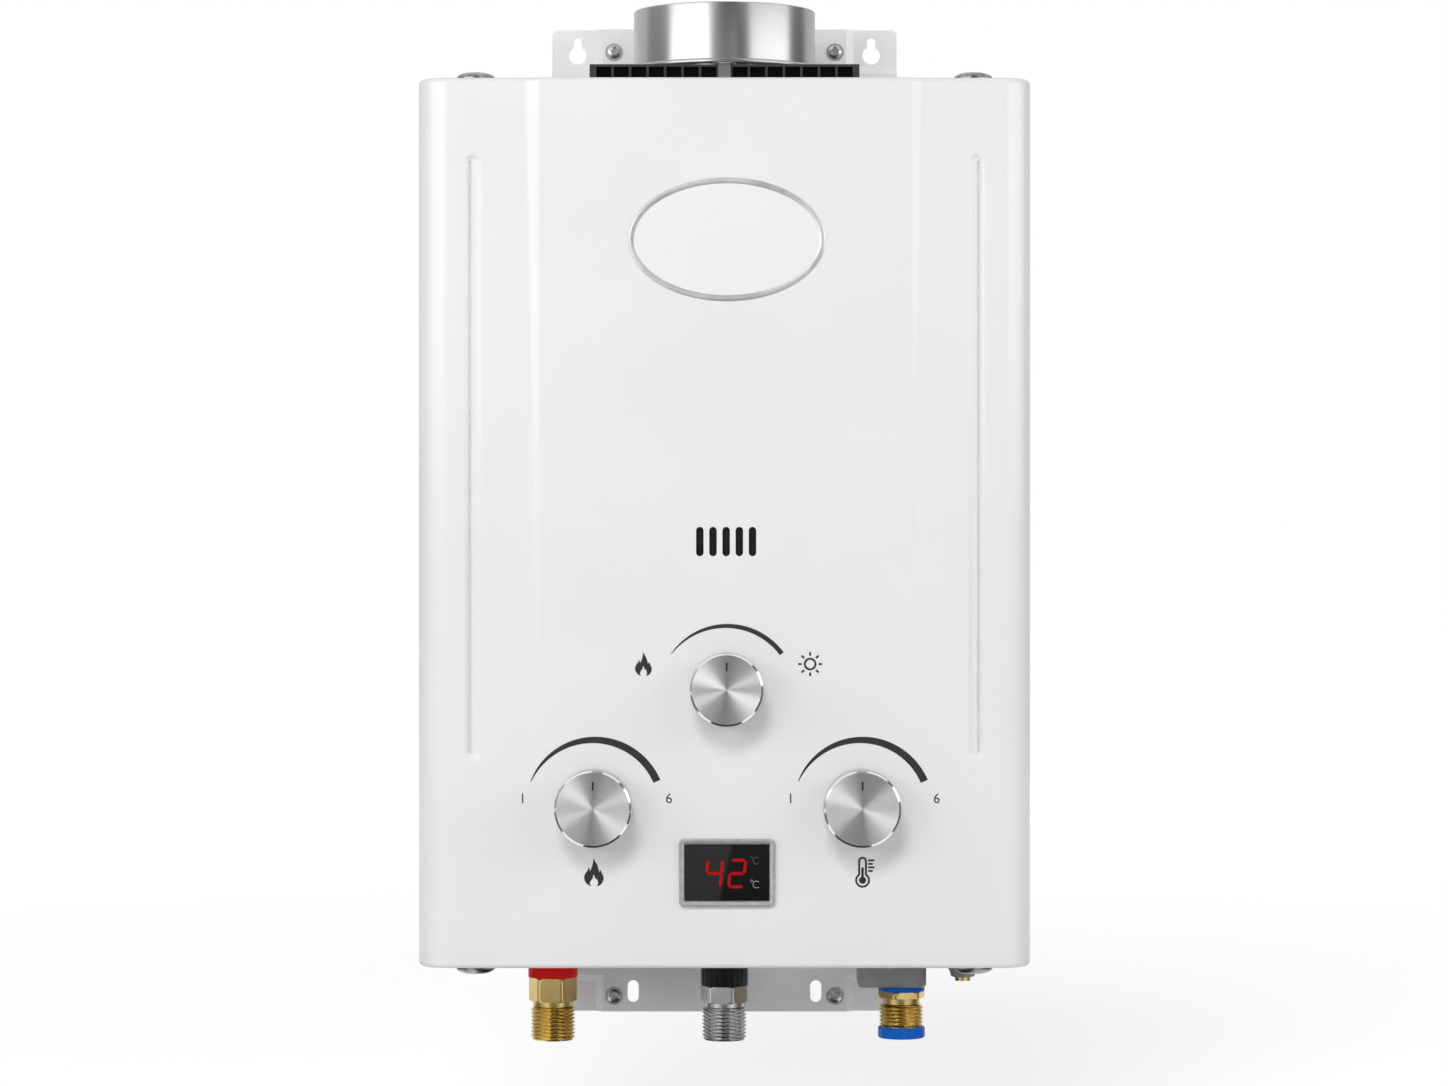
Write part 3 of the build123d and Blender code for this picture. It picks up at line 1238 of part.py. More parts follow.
# Cold water inlet: threaded fitting under the valve's leg, blue ring, pull-off cap, and the riser pipe
COLD_COLLAR_TOP = WATER_LEG_BOTTOM - COLD_RING
COLD_THREAD_TOP = COLD_COLLAR_TOP - COLD_COLLAR
CAP_TOP = COLD_THREAD_TOP - COLD_THREAD
CAP_BOTTOM = CAP_TOP - CAP_HEIGHT
with BuildPart() as cold_inlet_fitting:
    land_end = CAP_BOTTOM + CAP_END + CAP_GAP
    with BuildSketch(Plane.XY.offset(COLD_COLLAR_TOP)):
        with Locations((COLD_X, FITTING_Y)):
            RegularPolygon(SPIGOT_R, SEAL_SIDES, major_radius=False)
    extrude(amount=COLD_RING)
    add(bar((COLD_X, FITTING_Y, COLD_THREAD_TOP), (0, 0, 1), HEX_FLATS / 2, HEX_SIDES, COLD_COLLAR))
    rod((COLD_X, FITTING_Y, CAP_TOP), (0, 0, 1), THREAD_R, COLD_THREAD)
    land_foot = (COLD_X, FITTING_Y, land_end)
    add(bar(land_foot, (0, 0, 1), CAP_LAND_R, BORE_SIDES, CAP_TOP - land_end))
    add(
        bar(land_foot, (0, 0, 1), BORE_R, BORE_SIDES, COLD_THREAD),
        mode=Mode.SUBTRACT,
    )
save("cold_inlet_fitting", cold_inlet_fitting)

with BuildPart() as cold_inlet_ring:
    add(sealing_ring(COLD_X, COLD_COLLAR_TOP, COLD_RING, COLD_RING_R))
save("cold_inlet_ring", cold_inlet_ring)

with BuildPart() as cold_inlet_cap:
    cap_foot = (COLD_X, FITTING_Y, CAP_BOTTOM)
    add(bar(cap_foot, (0, 0, 1), CAP_R, RING_SIDES, CAP_HEIGHT - 2 * CAP_GAP))
    add(
        bar(
            (COLD_X, FITTING_Y, CAP_BOTTOM + CAP_END),
            (0, 0, 1),
            CAP_LAND_R + CAP_GAP,
            BORE_SIDES,
            CAP_HEIGHT,
        ),
        mode=Mode.SUBTRACT,
    )
save("cold_inlet_cap", cold_inlet_cap)

with BuildPart() as cold_riser_pipe:
    cold_row = TUBE_ROWS[0]
    cold_start = (COLD_RISER_X, cold_row, WATER_BLOCK_TOP)
    with BuildLine() as course:
        Polyline(
            cold_start,
            (COLD_RISER_X, cold_row, TUBE_Z - PIPE_BEND),
            (COLD_RISER_X - PIPE_BEND, cold_row, TUBE_Z),
            (TUBE_END, cold_row, TUBE_Z),
        )
    with BuildSketch(Plane(cold_start, z_dir=(0, 0, 1))):
        RegularPolygon(TUBE_R, PIPE_SIDES, major_radius=False)
    sweep(path=course.line, transition=Transition.RIGHT)
save("cold_riser_pipe", cold_riser_pipe)


# Pressure relief valve on the side of the inlet leg, its nipple pointing down through the casing
with BuildPart() as relief_valve:
    arm_z = CASE_BOTTOM + RELIEF_ARM_RISE
    with BuildSketch(Plane((WATER_LEG_RIGHT, FITTING_Y, arm_z), z_dir=(1, 0, 0))):
        RegularPolygon(RELIEF_R, HEX_SIDES)
    extrude(amount=RELIEF_X - WATER_LEG_RIGHT)
    with BuildSketch(Plane.XY.offset(arm_z - RELIEF_HEAD)):
        with Locations((RELIEF_X, FITTING_Y)):
            RegularPolygon(RELIEF_BODY_R, HEX_SIDES)
    extrude(amount=2 * RELIEF_HEAD)
    rod(
        (RELIEF_X, FITTING_Y, CASE_BOTTOM - RELIEF_DROP),
        (0, 0, 1),
        RELIEF_R,
        RELIEF_DROP + RELIEF_ARM_RISE - RELIEF_HEAD,
    )
save("relief_valve", relief_valve)


# Battery box on the back plate, with a door in the casing's bottom that swings on a pin
CELL_Y = PLATE_FRONT - BOX_WALL - CELL_GAP - CELL_R
CELLS = [BOX_LEFT + BOX_WALL + CELL_GAP + CELL_R, BOX_RIGHT - BOX_WALL - CELL_GAP - CELL_R]
EARS = [(BOX_LEFT, BOX_LEFT + HINGE_EAR), (BOX_RIGHT - HINGE_EAR, BOX_RIGHT)]
with BuildPart() as battery_box:
    block((BOX_LEFT, BOX_RIGHT), (BOX_FRONT, PLATE_FRONT), (BOX_BOTTOM, BOX_TOP))
    block(
        (BOX_LEFT + BOX_WALL, BOX_RIGHT - BOX_WALL),
        (BOX_FRONT + BOX_WALL, PLATE_FRONT - BOX_WALL),
        (BOX_BOTTOM, BOX_TOP - BOX_WALL),
        mode=Mode.SUBTRACT,
    )
    for ear in EARS:
        block(
            ear,
            (HINGE_Y - HINGE_R, BOX_FRONT),
            (HINGE_Z - HINGE_R + DOOR_GAP, HINGE_Z + 2 * HINGE_R),
        )
    rod(
        (BOX_LEFT, HINGE_Y, HINGE_Z),
        (1, 0, 0),
        HINGE_PIN_R + HINGE_PIN_FIT,
        BOX_WIDTH,
        mode=Mode.SUBTRACT,
    )
save("battery_box", battery_box)

with BuildPart() as battery_door:
    knuckle = (EARS[0][1] + DOOR_GAP, EARS[1][0] - DOOR_GAP)
    block(knuckle, (HINGE_Y, BOX_FRONT), (CASE_BOTTOM, CASE_BOTTOM + DOOR))
    block(
        (BOX_LEFT, BOX_RIGHT),
        (BOX_FRONT + DOOR_GAP, -BOTTOM_LIP - DOOR_GAP),
        (CASE_BOTTOM, CASE_BOTTOM + DOOR),
    )
    block(knuckle, (BOX_FRONT, BOX_FRONT + BOX_WALL), (CASE_BOTTOM, CASE_BOTTOM + DOOR))
    rod((knuckle[0], HINGE_Y, HINGE_Z), (1, 0, 0), HINGE_R, knuckle[1] - knuckle[0])
    rod(
        (knuckle[0], HINGE_Y, HINGE_Z),
        (1, 0, 0),
        HINGE_PIN_R + RUNNING_GAP,
        knuckle[1] - knuckle[0],
        mode=Mode.SUBTRACT,
    )
save("battery_door", battery_door)

with BuildPart() as battery_door_pin:
    rod((BOX_LEFT, HINGE_Y, HINGE_Z), (1, 0, 0), HINGE_PIN_R, BOX_WIDTH)
save("battery_door_pin", battery_door_pin)

with BuildPart() as batteries:
    for x in CELLS:
        add(bar((x, CELL_Y, BOX_BOTTOM), (0, 0, 1), CELL_R, BORE_SIDES, CELL_LENGTH))
save("batteries", batteries)


# Igniter box on the back plate
with BuildPart() as igniter_box:
    igniter_z = CASE_BOTTOM + IGNITER_RISE
    with BuildSketch(Plane.XZ.offset(-PLATE_FRONT)):
        with Locations((IGNITER_LEFT + IGNITER_WIDTH / 2, igniter_z + IGNITER_HEIGHT / 2)):
            Rectangle(IGNITER_WIDTH, IGNITER_HEIGHT)
    extrude(amount=IGNITER_DEPTH)
    chamfer(igniter_box.edges().filter_by(Axis.Y), IGNITER_CORNER)
save("igniter_box", igniter_box)


# Electrodes through the chamber's front wall: one lights the gas, one senses the flame
def electrode(x):
    """A square ceramic bar with a fixing plate on the chamber's wall and a wire tip inside."""
    with BuildPart() as probe:
        for half, start, end in (
            (ELECTRODE_R, CHAMBER_FRONT - ELECTRODE_LENGTH / 2, CHAMBER_FRONT + ELECTRODE_LENGTH / 2),
            (ELECTRODE_WIRE_R, CHAMBER_FRONT, CHAMBER_FRONT + ELECTRODE_LENGTH / 2 + ELECTRODE_TIP),
        ):
            block(about(x, half), (start, end), about(ELECTRODE_Z, half))
        block(
            about(x, ELECTRODE_PLATE / 2),
            (CHAMBER_FRONT - CHAMBER_SHEET, CHAMBER_FRONT),
            about(ELECTRODE_Z, 2 * ELECTRODE_R),
        )
    return probe.part


with BuildPart() as ignition_electrode:
    add(electrode(-ELECTRODE_X))
save("ignition_electrode", ignition_electrode)

with BuildPart() as flame_sensor:
    add(electrode(ELECTRODE_X))
save("flame_sensor", flame_sensor)


# Overheat switch on the chamber's right wall
with BuildPart() as overheat_switch:
    cutout_z = CHAMBER_BOTTOM + CUTOUT_RISE
    wall = CHAMBER_WIDTH / 2
    block(
        (wall, wall + CHAMBER_SHEET),
        about(CORE_Y, CUTOUT_PLATE / 2),
        about(cutout_z, CUTOUT_PLATE_WIDTH / 2),
    )
    with BuildSketch(Plane((wall, CORE_Y, cutout_z), z_dir=(1, 0, 0))):
        RegularPolygon(CUTOUT_R, DIAPHRAGM_SIDES)
    extrude(amount=CUTOUT_THICK)
save("overheat_switch", overheat_switch)


# Temperature probe strapped round the hot outlet pipe
with BuildPart() as temperature_probe:
    probe_z = CASE_BOTTOM + PROBE_RISE
    strap = TUBE_R + PROBE_STRAP
    bore = TUBE_R + TUBE_GAP
    block(about(HOT_X, strap), about(FITTING_Y, strap), (probe_z, probe_z + PROBE_BAND))
    block(
        about(HOT_X, PROBE_R),
        (FITTING_Y - strap - PROBE_LENGTH, FITTING_Y - strap),
        about(probe_z + PROBE_BAND / 2, PROBE_R),
    )
    block(
        about(HOT_X, bore),
        about(FITTING_Y, bore),
        (probe_z, probe_z + PROBE_BAND),
        mode=Mode.SUBTRACT,
    )
save("temperature_probe", temperature_probe)
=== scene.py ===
import json
import math

import bmesh
import bpy
from mathutils import Matrix, Vector

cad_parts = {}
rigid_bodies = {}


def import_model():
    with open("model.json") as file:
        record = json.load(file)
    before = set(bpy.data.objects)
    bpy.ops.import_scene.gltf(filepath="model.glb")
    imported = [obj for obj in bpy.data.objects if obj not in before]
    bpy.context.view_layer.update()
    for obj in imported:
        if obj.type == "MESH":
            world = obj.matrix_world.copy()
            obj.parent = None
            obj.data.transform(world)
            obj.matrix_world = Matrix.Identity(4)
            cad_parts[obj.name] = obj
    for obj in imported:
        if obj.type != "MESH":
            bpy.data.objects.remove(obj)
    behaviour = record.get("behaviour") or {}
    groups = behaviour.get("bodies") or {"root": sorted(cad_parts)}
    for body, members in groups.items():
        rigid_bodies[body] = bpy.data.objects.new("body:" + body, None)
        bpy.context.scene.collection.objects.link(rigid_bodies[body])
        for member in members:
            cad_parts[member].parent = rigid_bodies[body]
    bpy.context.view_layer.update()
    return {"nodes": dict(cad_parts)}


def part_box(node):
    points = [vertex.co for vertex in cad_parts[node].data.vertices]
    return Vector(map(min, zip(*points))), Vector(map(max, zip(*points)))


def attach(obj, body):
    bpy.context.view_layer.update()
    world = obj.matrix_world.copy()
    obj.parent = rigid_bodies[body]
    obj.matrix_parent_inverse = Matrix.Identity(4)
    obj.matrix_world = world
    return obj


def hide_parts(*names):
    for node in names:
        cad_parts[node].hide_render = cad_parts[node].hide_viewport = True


for leftover in list(bpy.data.objects):
    bpy.data.objects.remove(leftover)
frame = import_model()
nodes = frame["nodes"]
MM = 0.001


# Casing: one deep-drawn shell of white powder-coated sheet steel, open at the back, with a shallow
# wedge pressed out of its front, two upright stiffening grooves and five viewing slots. It hangs
# on the back plate, and its bottom is notched so that it lifts off over the pipes.
case_low, case_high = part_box("front_cover")
CASE_HALF = case_high.x
CASE_TOP = case_high.z
CASE_BOTTOM = case_low.z
CASE_FRONT = -120.0 * MM
CASE_REAR = case_high.y
SHEET = 0.8 * MM
CORNER_R = 15.0 * MM
RIM_R = 2.5 * MM
WEDGE_HALF = 90.0 * MM
WEDGE_FLANK = 5.5 * MM
WEDGE_RISE = 2.0 * MM
WEDGE_DROP = 320.0 * MM
WEDGE_SOFT = 0.25 * MM
GROOVE_X = 121.5 * MM
GROOVE_HALF = 4.2 * MM
GROOVE_DEPTH = 1.3 * MM
GROOVE_WALL = 2.6 * MM
CREASE_OUT = 1.3 * MM
CREASE_HALF = 1.2 * MM
CREASE_DEPTH = 1.7 * MM
GROOVE_TOP = CASE_TOP - 41.0 * MM
GROOVE_BOTTOM = CASE_TOP - 326.0 * MM
SLOT_X = 0.8 * MM
SLOT_Z = -248.5 * MM
SLOT_PITCH = 6.35 * MM
SLOT_HALF = 1.8 * MM
SLOT_REACH = 7.1 * MM
DISPLAY_X = 1.2 * MM
DISPLAY_Z = -408.2 * MM
WINDOW_HALF_WIDTH = 20.35 * MM
WINDOW_HALF_HEIGHT = 13.5 * MM
BEND_STEPS = 12
FRONT_CUT = 5.0 * MM
SHEET_CUT = 3.0 * MM
CASING_WHITE = (0.845, 0.853, 0.862, 1)
CASING_SHADE = (0.825, 0.832, 0.842, 1)


def tune(paint, socket, value):
    """Sets one socket of a finish's shader."""
    paint.node_tree.nodes["Principled BSDF"].inputs[socket].default_value = value


def feed(paint, socket, pattern):
    """Lets a pattern set one socket of a finish's shader."""
    tree = paint.node_tree
    tree.links.new(pattern, tree.nodes["Principled BSDF"].inputs[socket])


def finish(name, colour, metallic, roughness):
    """A new finish: one shader with its colour, metal and roughness."""
    paint = bpy.data.materials.new(name)
    paint.use_nodes = True
    paint.diffuse_color = colour
    tune(paint, "Base Color", colour)
    tune(paint, "Metallic", metallic)
    tune(paint, "Roughness", roughness)
    return paint


def speckle(paint, size, detail, stretch=(1, 1, 1)):
    """A noise over the piece whose lumps are about this size, longer where the stretch is small."""
    tree = paint.node_tree
    place = tree.nodes.new("ShaderNodeTexCoord")
    scale = tree.nodes.new("ShaderNodeMapping")
    scale.inputs["Scale"].default_value = stretch
    noise = tree.nodes.new("ShaderNodeTexNoise")
    noise.inputs["Scale"].default_value = 1 / size
    noise.inputs["Detail"].default_value = detail
    tree.links.new(place.outputs["Object"], scale.inputs["Vector"])
    tree.links.new(scale.outputs["Vector"], noise.inputs["Vector"])
    return noise.outputs["Fac"]


def shade(paint, pattern, dark, light, low=0.35, high=0.65):
    """Lets a pattern move the colour between two shades."""
    tree = paint.node_tree
    ramp = tree.nodes.new("ShaderNodeValToRGB")
    ramp.color_ramp.elements[0].position = low
    ramp.color_ramp.elements[0].color = dark
    ramp.color_ramp.elements[1].position = high
    ramp.color_ramp.elements[1].color = light
    tree.links.new(pattern, ramp.inputs["Fac"])
    feed(paint, "Base Color", ramp.outputs["Color"])


def polish(paint, pattern, least, most):
    """Lets a pattern move the roughness between two values."""
    tree = paint.node_tree
    spread = tree.nodes.new("ShaderNodeMapRange")
    spread.inputs["To Min"].default_value = least
    spread.inputs["To Max"].default_value = most
    tree.links.new(pattern, spread.inputs["Value"])
    feed(paint, "Roughness", spread.outputs["Result"])


def emboss(paint, pattern, height, strength):
    """Lets a pattern raise the surface by a small height."""
    tree = paint.node_tree
    bump = tree.nodes.new("ShaderNodeBump")
    bump.inputs["Distance"].default_value = height
    bump.inputs["Strength"].default_value = strength
    tree.links.new(pattern, bump.inputs["Height"])
    feed(paint, "Normal", bump.outputs["Normal"])


def mottle(paint, size, detail, dark, light):
    """Patches of about this size that differ in colour."""
    shade(paint, speckle(paint, size, detail), dark, light)


def wear(paint, size, detail, least, most):
    """Patches of about this size that differ in roughness."""
    polish(paint, speckle(paint, size, detail), least, most)


def grain(paint, size, detail, height, strength):
    """Lumps of about this size that stand up a little."""
    emboss(paint, speckle(paint, size, detail), height, strength)


def smooth(mesh, crease):
    """Smooth shading, except over edges sharper than an angle in degrees."""
    mesh.shade_smooth()
    mesh.set_sharp_from_angle(angle=math.radians(crease))


def show(name, data):
    """Puts a mesh, text, lamp or camera into the scene under a name."""
    shown = bpy.data.objects.new(name, data)
    bpy.context.scene.collection.objects.link(shown)
    return shown


def make(name, shape, paint, body="heater", stands_for=(), crease=35):
    """Turns a shape into a piece that rides on a body, and may stand for solids of the frame."""
    bmesh.ops.recalc_face_normals(shape, faces=shape.faces)
    mesh = bpy.data.meshes.new(name)
    shape.to_mesh(mesh)
    shape.free()
    mesh.materials.append(paint)
    smooth(mesh, crease)
    piece = show(name, mesh)
    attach(piece, body)
    if stands_for:
        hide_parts(*stands_for)
    return piece


def bridge(shape, first, last, closed=True):
    """Joins two rows of vertices with a band of faces."""
    count = len(first)
    for index in range(count if closed else count - 1):
        after = (index + 1) % count
        shape.faces.new((first[index], first[after], last[after], last[index]))


def skin(shape, rows, closed=True):
    """Joins rows of points into a skin and returns its rows of vertices."""
    made = [[shape.verts.new(point) for point in row] for row in rows]
    for below, above in zip(made, made[1:]):
        bridge(shape, below, above, closed)
    return made


def plug(shape, rows):
    """A skin whose first and last rows are closed."""
    made = skin(shape, rows)
    shape.faces.new(made[0])
    shape.faces.new(made[-1])


def block(shape, low, high):
    """A box between two corners."""
    corners = [(low[0], low[1]), (high[0], low[1]), (high[0], high[1]), (low[0], high[1])]
    plug(shape, [[(x, y, z) for x, y in corners] for z in (low[2], high[2])])


def cut(piece, tool_shape, crease=35):
    """Takes a closed shape out of a piece."""
    bmesh.ops.recalc_face_normals(tool_shape, faces=tool_shape.faces)
    tool_mesh = bpy.data.meshes.new("tool")
    tool_shape.to_mesh(tool_mesh)
    tool_shape.free()
    tool = show("tool", tool_mesh)
    taking = piece.modifiers.new("cut", "BOOLEAN")
    taking.operation = "DIFFERENCE"
    taking.solver = "EXACT"
    taking.object = tool
    whole = piece.data
    piece.data = bpy.data.meshes.new_from_object(
        piece.evaluated_get(bpy.context.evaluated_depsgraph_get())
    )
    piece.data.name = piece.name
    piece.modifiers.clear()
    smooth(piece.data, crease)
    bpy.data.meshes.remove(whole)
    bpy.data.objects.remove(tool)
    bpy.data.meshes.remove(tool_mesh)


def ease(value):
    """Nothing below zero and the value above it, with a soft turn between."""
    return (value + math.hypot(value, WEDGE_SOFT)) / 2


def front_relief(x, z):
    """How far the front skin stands out of its plane: the wedge, less the creased grooves."""
    top = WEDGE_RISE * (1 - (CASE_TOP - z) / WEDGE_DROP)
    beside = WEDGE_RISE * (abs(x) - WEDGE_HALF) / WEDGE_FLANK
    relief = ease(top - ease(beside))
    run = min(max(z, GROOVE_BOTTOM), GROOVE_TOP)
    inside = (GROOVE_HALF - math.hypot(abs(x) - GROOVE_X, z - run)) / GROOVE_WALL
    if inside > 0:
        relief -= GROOVE_DEPTH * (0.5 - 0.5 * math.cos(math.pi * min(inside, 1.0)))
    crease = math.hypot(abs(x) - GROOVE_X - CREASE_OUT, z - run) / CREASE_HALF
    if crease < 1:
        relief -= CREASE_DEPTH * (0.5 + 0.5 * math.cos(math.pi * crease))
    return relief


def places(start, *runs):
    """Places along an edge: each run is the place where it stops and its step."""
    made = [start]
    for stop, step in runs:
        count = max(1, round((stop - made[-1]) / step))
        begin = made[-1]
        made += [begin + (stop - begin) * (index + 1) / count for index in range(count)]
    return made


def casing_row(inset, z):
    """One level of the shell, from its left rear edge round the front to its right rear edge."""
    side = CASE_HALF - inset
    front = CASE_FRONT + inset
    flat = CASE_HALF - CORNER_R
    bend = CORNER_R - inset
    across = places(
        0,
        (WEDGE_HALF - 6 * MM, 12 * MM),
        (WEDGE_HALF + WEDGE_FLANK + 3 * MM, 0.6 * MM),
        (GROOVE_X - 5 * MM, 6 * MM),
        (GROOVE_X + 5 * MM, 0.3 * MM),
        (flat, 3 * MM),
    )
    right = [Vector((x, front - front_relief(x, z), z)) for x in across]
    for index in range(1, BEND_STEPS + 1):
        turn = math.radians(90 * index / BEND_STEPS)
        right.append(Vector((flat + bend * math.sin(turn), front + bend * (1 - math.cos(turn)), z)))
    right += [Vector((side, y, z)) for y in places(CASE_FRONT + CORNER_R, (CASE_REAR, 20 * MM))[1:]]
    left = [Vector((-p.x, p.y, p.z)) for p in reversed(right[1:])]
    return left + right


def casing_skin(shape, inset):
    """One face of the sheet, its rims rolled over to the top and the bottom."""
    bend = RIM_R - inset
    turns = [math.radians(10 * index) for index in range(9)]
    middle = places(
        CASE_BOTTOM + RIM_R,
        (GROOVE_BOTTOM - 6 * MM, 8 * MM),
        (GROOVE_BOTTOM + 1 * MM, 0.6 * MM),
        (GROOVE_TOP - 1 * MM, 8 * MM),
        (GROOVE_TOP + 6 * MM, 0.6 * MM),
        (CASE_TOP - RIM_R, 8 * MM),
    )
    rims = [(RIM_R - bend * math.cos(turn), RIM_R - bend * math.sin(turn)) for turn in turns]
    levels = [(CASE_BOTTOM + lift, draw) for lift, draw in rims]
    levels += [(z, inset) for z in middle]
    levels += [(CASE_TOP - lift, draw) for lift, draw in reversed(rims)]
    rows = skin(shape, [casing_row(draw, z) for z, draw in levels], closed=False)
    shape.faces.new(rows[0])
    shape.faces.new(rows[-1])
    left = [row[0] for row in rows]
    right = [row[-1] for row in rows]
    return left + right[::-1]


def arc_points(x, z, radius, start, stop, count):
    """Points along an arc of an upright face, by angles in degrees."""
    turns = [math.radians(start + (stop - start) * index / count) for index in range(count + 1)]
    return [(x + radius * math.cos(turn), z + radius * math.sin(turn)) for turn in turns]


casing_paint = finish("casing_paint", CASING_WHITE, 0.0, 0.25)
grain(casing_paint, 1.6 * MM, 3, 0.02 * MM, 0.2)
mottle(casing_paint, 70 * MM, 2, CASING_SHADE, CASING_WHITE)
wear(casing_paint, 9 * MM, 4, 0.24, 0.27)

shell = bmesh.new()
outside = casing_skin(shell, 0)
inside = casing_skin(shell, SHEET)
bridge(shell, outside, inside)
casing = make("casing", shell, casing_paint, stands_for=["front_cover"], crease=40)

windows = bmesh.new()
for place in range(-2, 3):
    middle = SLOT_X + place * SLOT_PITCH
    end = SLOT_REACH - SLOT_HALF
    outline = arc_points(middle, SLOT_Z + end, SLOT_HALF, 0, 180, 8)
    outline += arc_points(middle, SLOT_Z - end, SLOT_HALF, 180, 360, 8)
    plug(windows, [[(x, CASE_FRONT + y, z) for x, z in outline] for y in (-FRONT_CUT, FRONT_CUT)])
block(
    windows,
    (DISPLAY_X - WINDOW_HALF_WIDTH, CASE_FRONT - FRONT_CUT, DISPLAY_Z - WINDOW_HALF_HEIGHT),
    (DISPLAY_X + WINDOW_HALF_WIDTH, CASE_FRONT + FRONT_CUT, DISPLAY_Z + WINDOW_HALF_HEIGHT),
)
grille_low, grille_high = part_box("top_vent_grille")
GRILLE_LAP = 4 * MM
BEHIND = 10 * MM
block(
    windows,
    (grille_low.x + GRILLE_LAP, grille_low.y + GRILLE_LAP, CASE_TOP - SHEET_CUT),
    (grille_high.x - GRILLE_LAP, BEHIND, CASE_TOP + SHEET_CUT),
)
cut(casing, windows, 40)
RELIEF_IN = 6.5 * MM
RELIEF_NOTCH = 8.1 * MM
relief_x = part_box("relief_valve")[1].x - RELIEF_IN
# The left, right and front edge of each notch in the bottom.
pipe_notches = [
    (-94.6 * MM, -75.8 * MM, -69.4 * MM),
    (-13.2 * MM, 13.2 * MM, -73.2 * MM),
    (64.4 * MM, 101.2 * MM, -76.6 * MM),
    (relief_x - RELIEF_NOTCH, relief_x + RELIEF_NOTCH, -68.1 * MM),
    (-72.5 * MM, -1.0 * MM, -46.0 * MM),
    (-88.0 * MM, 88.0 * MM, -7.0 * MM),
]
for left, right, front in pipe_notches:
    notch = bmesh.new()
    block(notch, (left, front, CASE_BOTTOM - SHEET_CUT), (right, BEHIND, CASE_BOTTOM + SHEET_CUT))
    cut(casing, notch, 40)


# Back plate: a shallow tray of galvanised sheet that carries everything inside, with tongues that
# reach up and down to the wall brackets. The zinc shows as a spangle of grey crystals.
ZINC_DARK = (0.50, 0.51, 0.52, 1)
ZINC_LIGHT = (0.68, 0.69, 0.70, 1)
CRYSTAL = 7 * MM
galvanised = finish("galvanised", ZINC_LIGHT, 1.0, 0.42)
zinc_tree = galvanised.node_tree
crystals = zinc_tree.nodes.new("ShaderNodeTexVoronoi")
crystals.inputs["Scale"].default_value = 1 / CRYSTAL
crystal_place = zinc_tree.nodes.new("ShaderNodeTexCoord")
zinc_tree.links.new(crystal_place.outputs["Object"], crystals.inputs["Vector"])
crystal_tone = zinc_tree.nodes.new("ShaderNodeSeparateColor")
zinc_tree.links.new(crystals.outputs["Color"], crystal_tone.inputs["Color"])
shade(galvanised, crystal_tone.outputs["Red"], ZINC_DARK, ZINC_LIGHT, 0.1, 0.9)
wear(galvanised, 3 * MM, 3, 0.36, 0.5)


def dress(paint, *names):
    """Gives solids of the frame a finish."""
    for name in names:
        nodes[name].data.materials.clear()
        nodes[name].data.materials.append(paint)


dress(galvanised, "back_plate", "draught_hood", "chamber_straps", "burner_tray")


# Wall brackets: joggled strips of plated sheet steel, whose ears lie on the wall. Each is held to
# the back plate by two pan-head screws with cross recesses.
PLATED_DARK = (0.86, 0.863, 0.867, 1)
PLATED_LIGHT = (0.93, 0.933, 0.936, 1)
BRACKET_FRONT = -5.0 * MM
BRACKET_SCREW_X = 56.4 * MM
BRACKET_SCREW_OUT = 25.8 * MM
SCREW_HEAD_R = 3.6 * MM
SCREW_HEAD = 2.2 * MM
HEAD_FLAT = 0.3
WASHER_R = 4.5 * MM
WASHER = 0.6 * MM
plated_sheet = finish("plated_sheet", PLATED_LIGHT, 0.1, 0.34)
mottle(plated_sheet, 30 * MM, 3, PLATED_DARK, PLATED_LIGHT)
wear(plated_sheet, 2 * MM, 3, 0.30, 0.45)
dress(plated_sheet, "upper_wall_bracket", "lower_wall_bracket")


def hoop(shape, rows):
    """A skin whose last row meets its first again."""
    made = skin(shape, rows)
    bridge(shape, made[0], made[-1])


def turn_round(profile, centre, axis="Z", count=48, wave=None, hollow=False):
    """Turns a profile of radius and height about an axis; its ends are closed unless it is hollow."""
    shape = bmesh.new()
    rows = []
    for radius, height in profile:
        row = []
        for index in range(count):
            turn = math.tau * index / count
            reach = wave(radius, height, turn) if wave else radius
            side, up = reach * math.cos(turn), reach * math.sin(turn)
            offset = Vector((side, up, height)) if axis == "Z" else Vector((side, -height, up))
            row.append(Vector(centre) + offset)
        rows.append(row)
    if hollow:
        hoop(shape, rows)
    else:
        plug(shape, rows)
    return shape


def domed(radius, height, flat, side, steps):
    """The curve of a screw head, from its flat middle to its upright side, as shares of its size."""
    turns = [math.radians(90 * index / steps) for index in range(1, steps + 1)]
    return [
        (radius * (flat + (1 - flat) * math.sin(turn)), height * (side + (1 - side) * math.cos(turn)))
        for turn in turns
    ]


def cross_recess(screw, low, high, axis, tilt, place=(0, 0, 0)):
    """Cuts a cross into a screw head: one slot between two corners, and one square to it."""
    for angle in (tilt, tilt + 90):
        slot = bmesh.new()
        block(slot, low, high)
        stand = Matrix.Translation(place) @ Matrix.Rotation(math.radians(angle), 4, axis)
        bmesh.ops.transform(slot, matrix=stand, verts=slot.verts)
        cut(screw, slot)


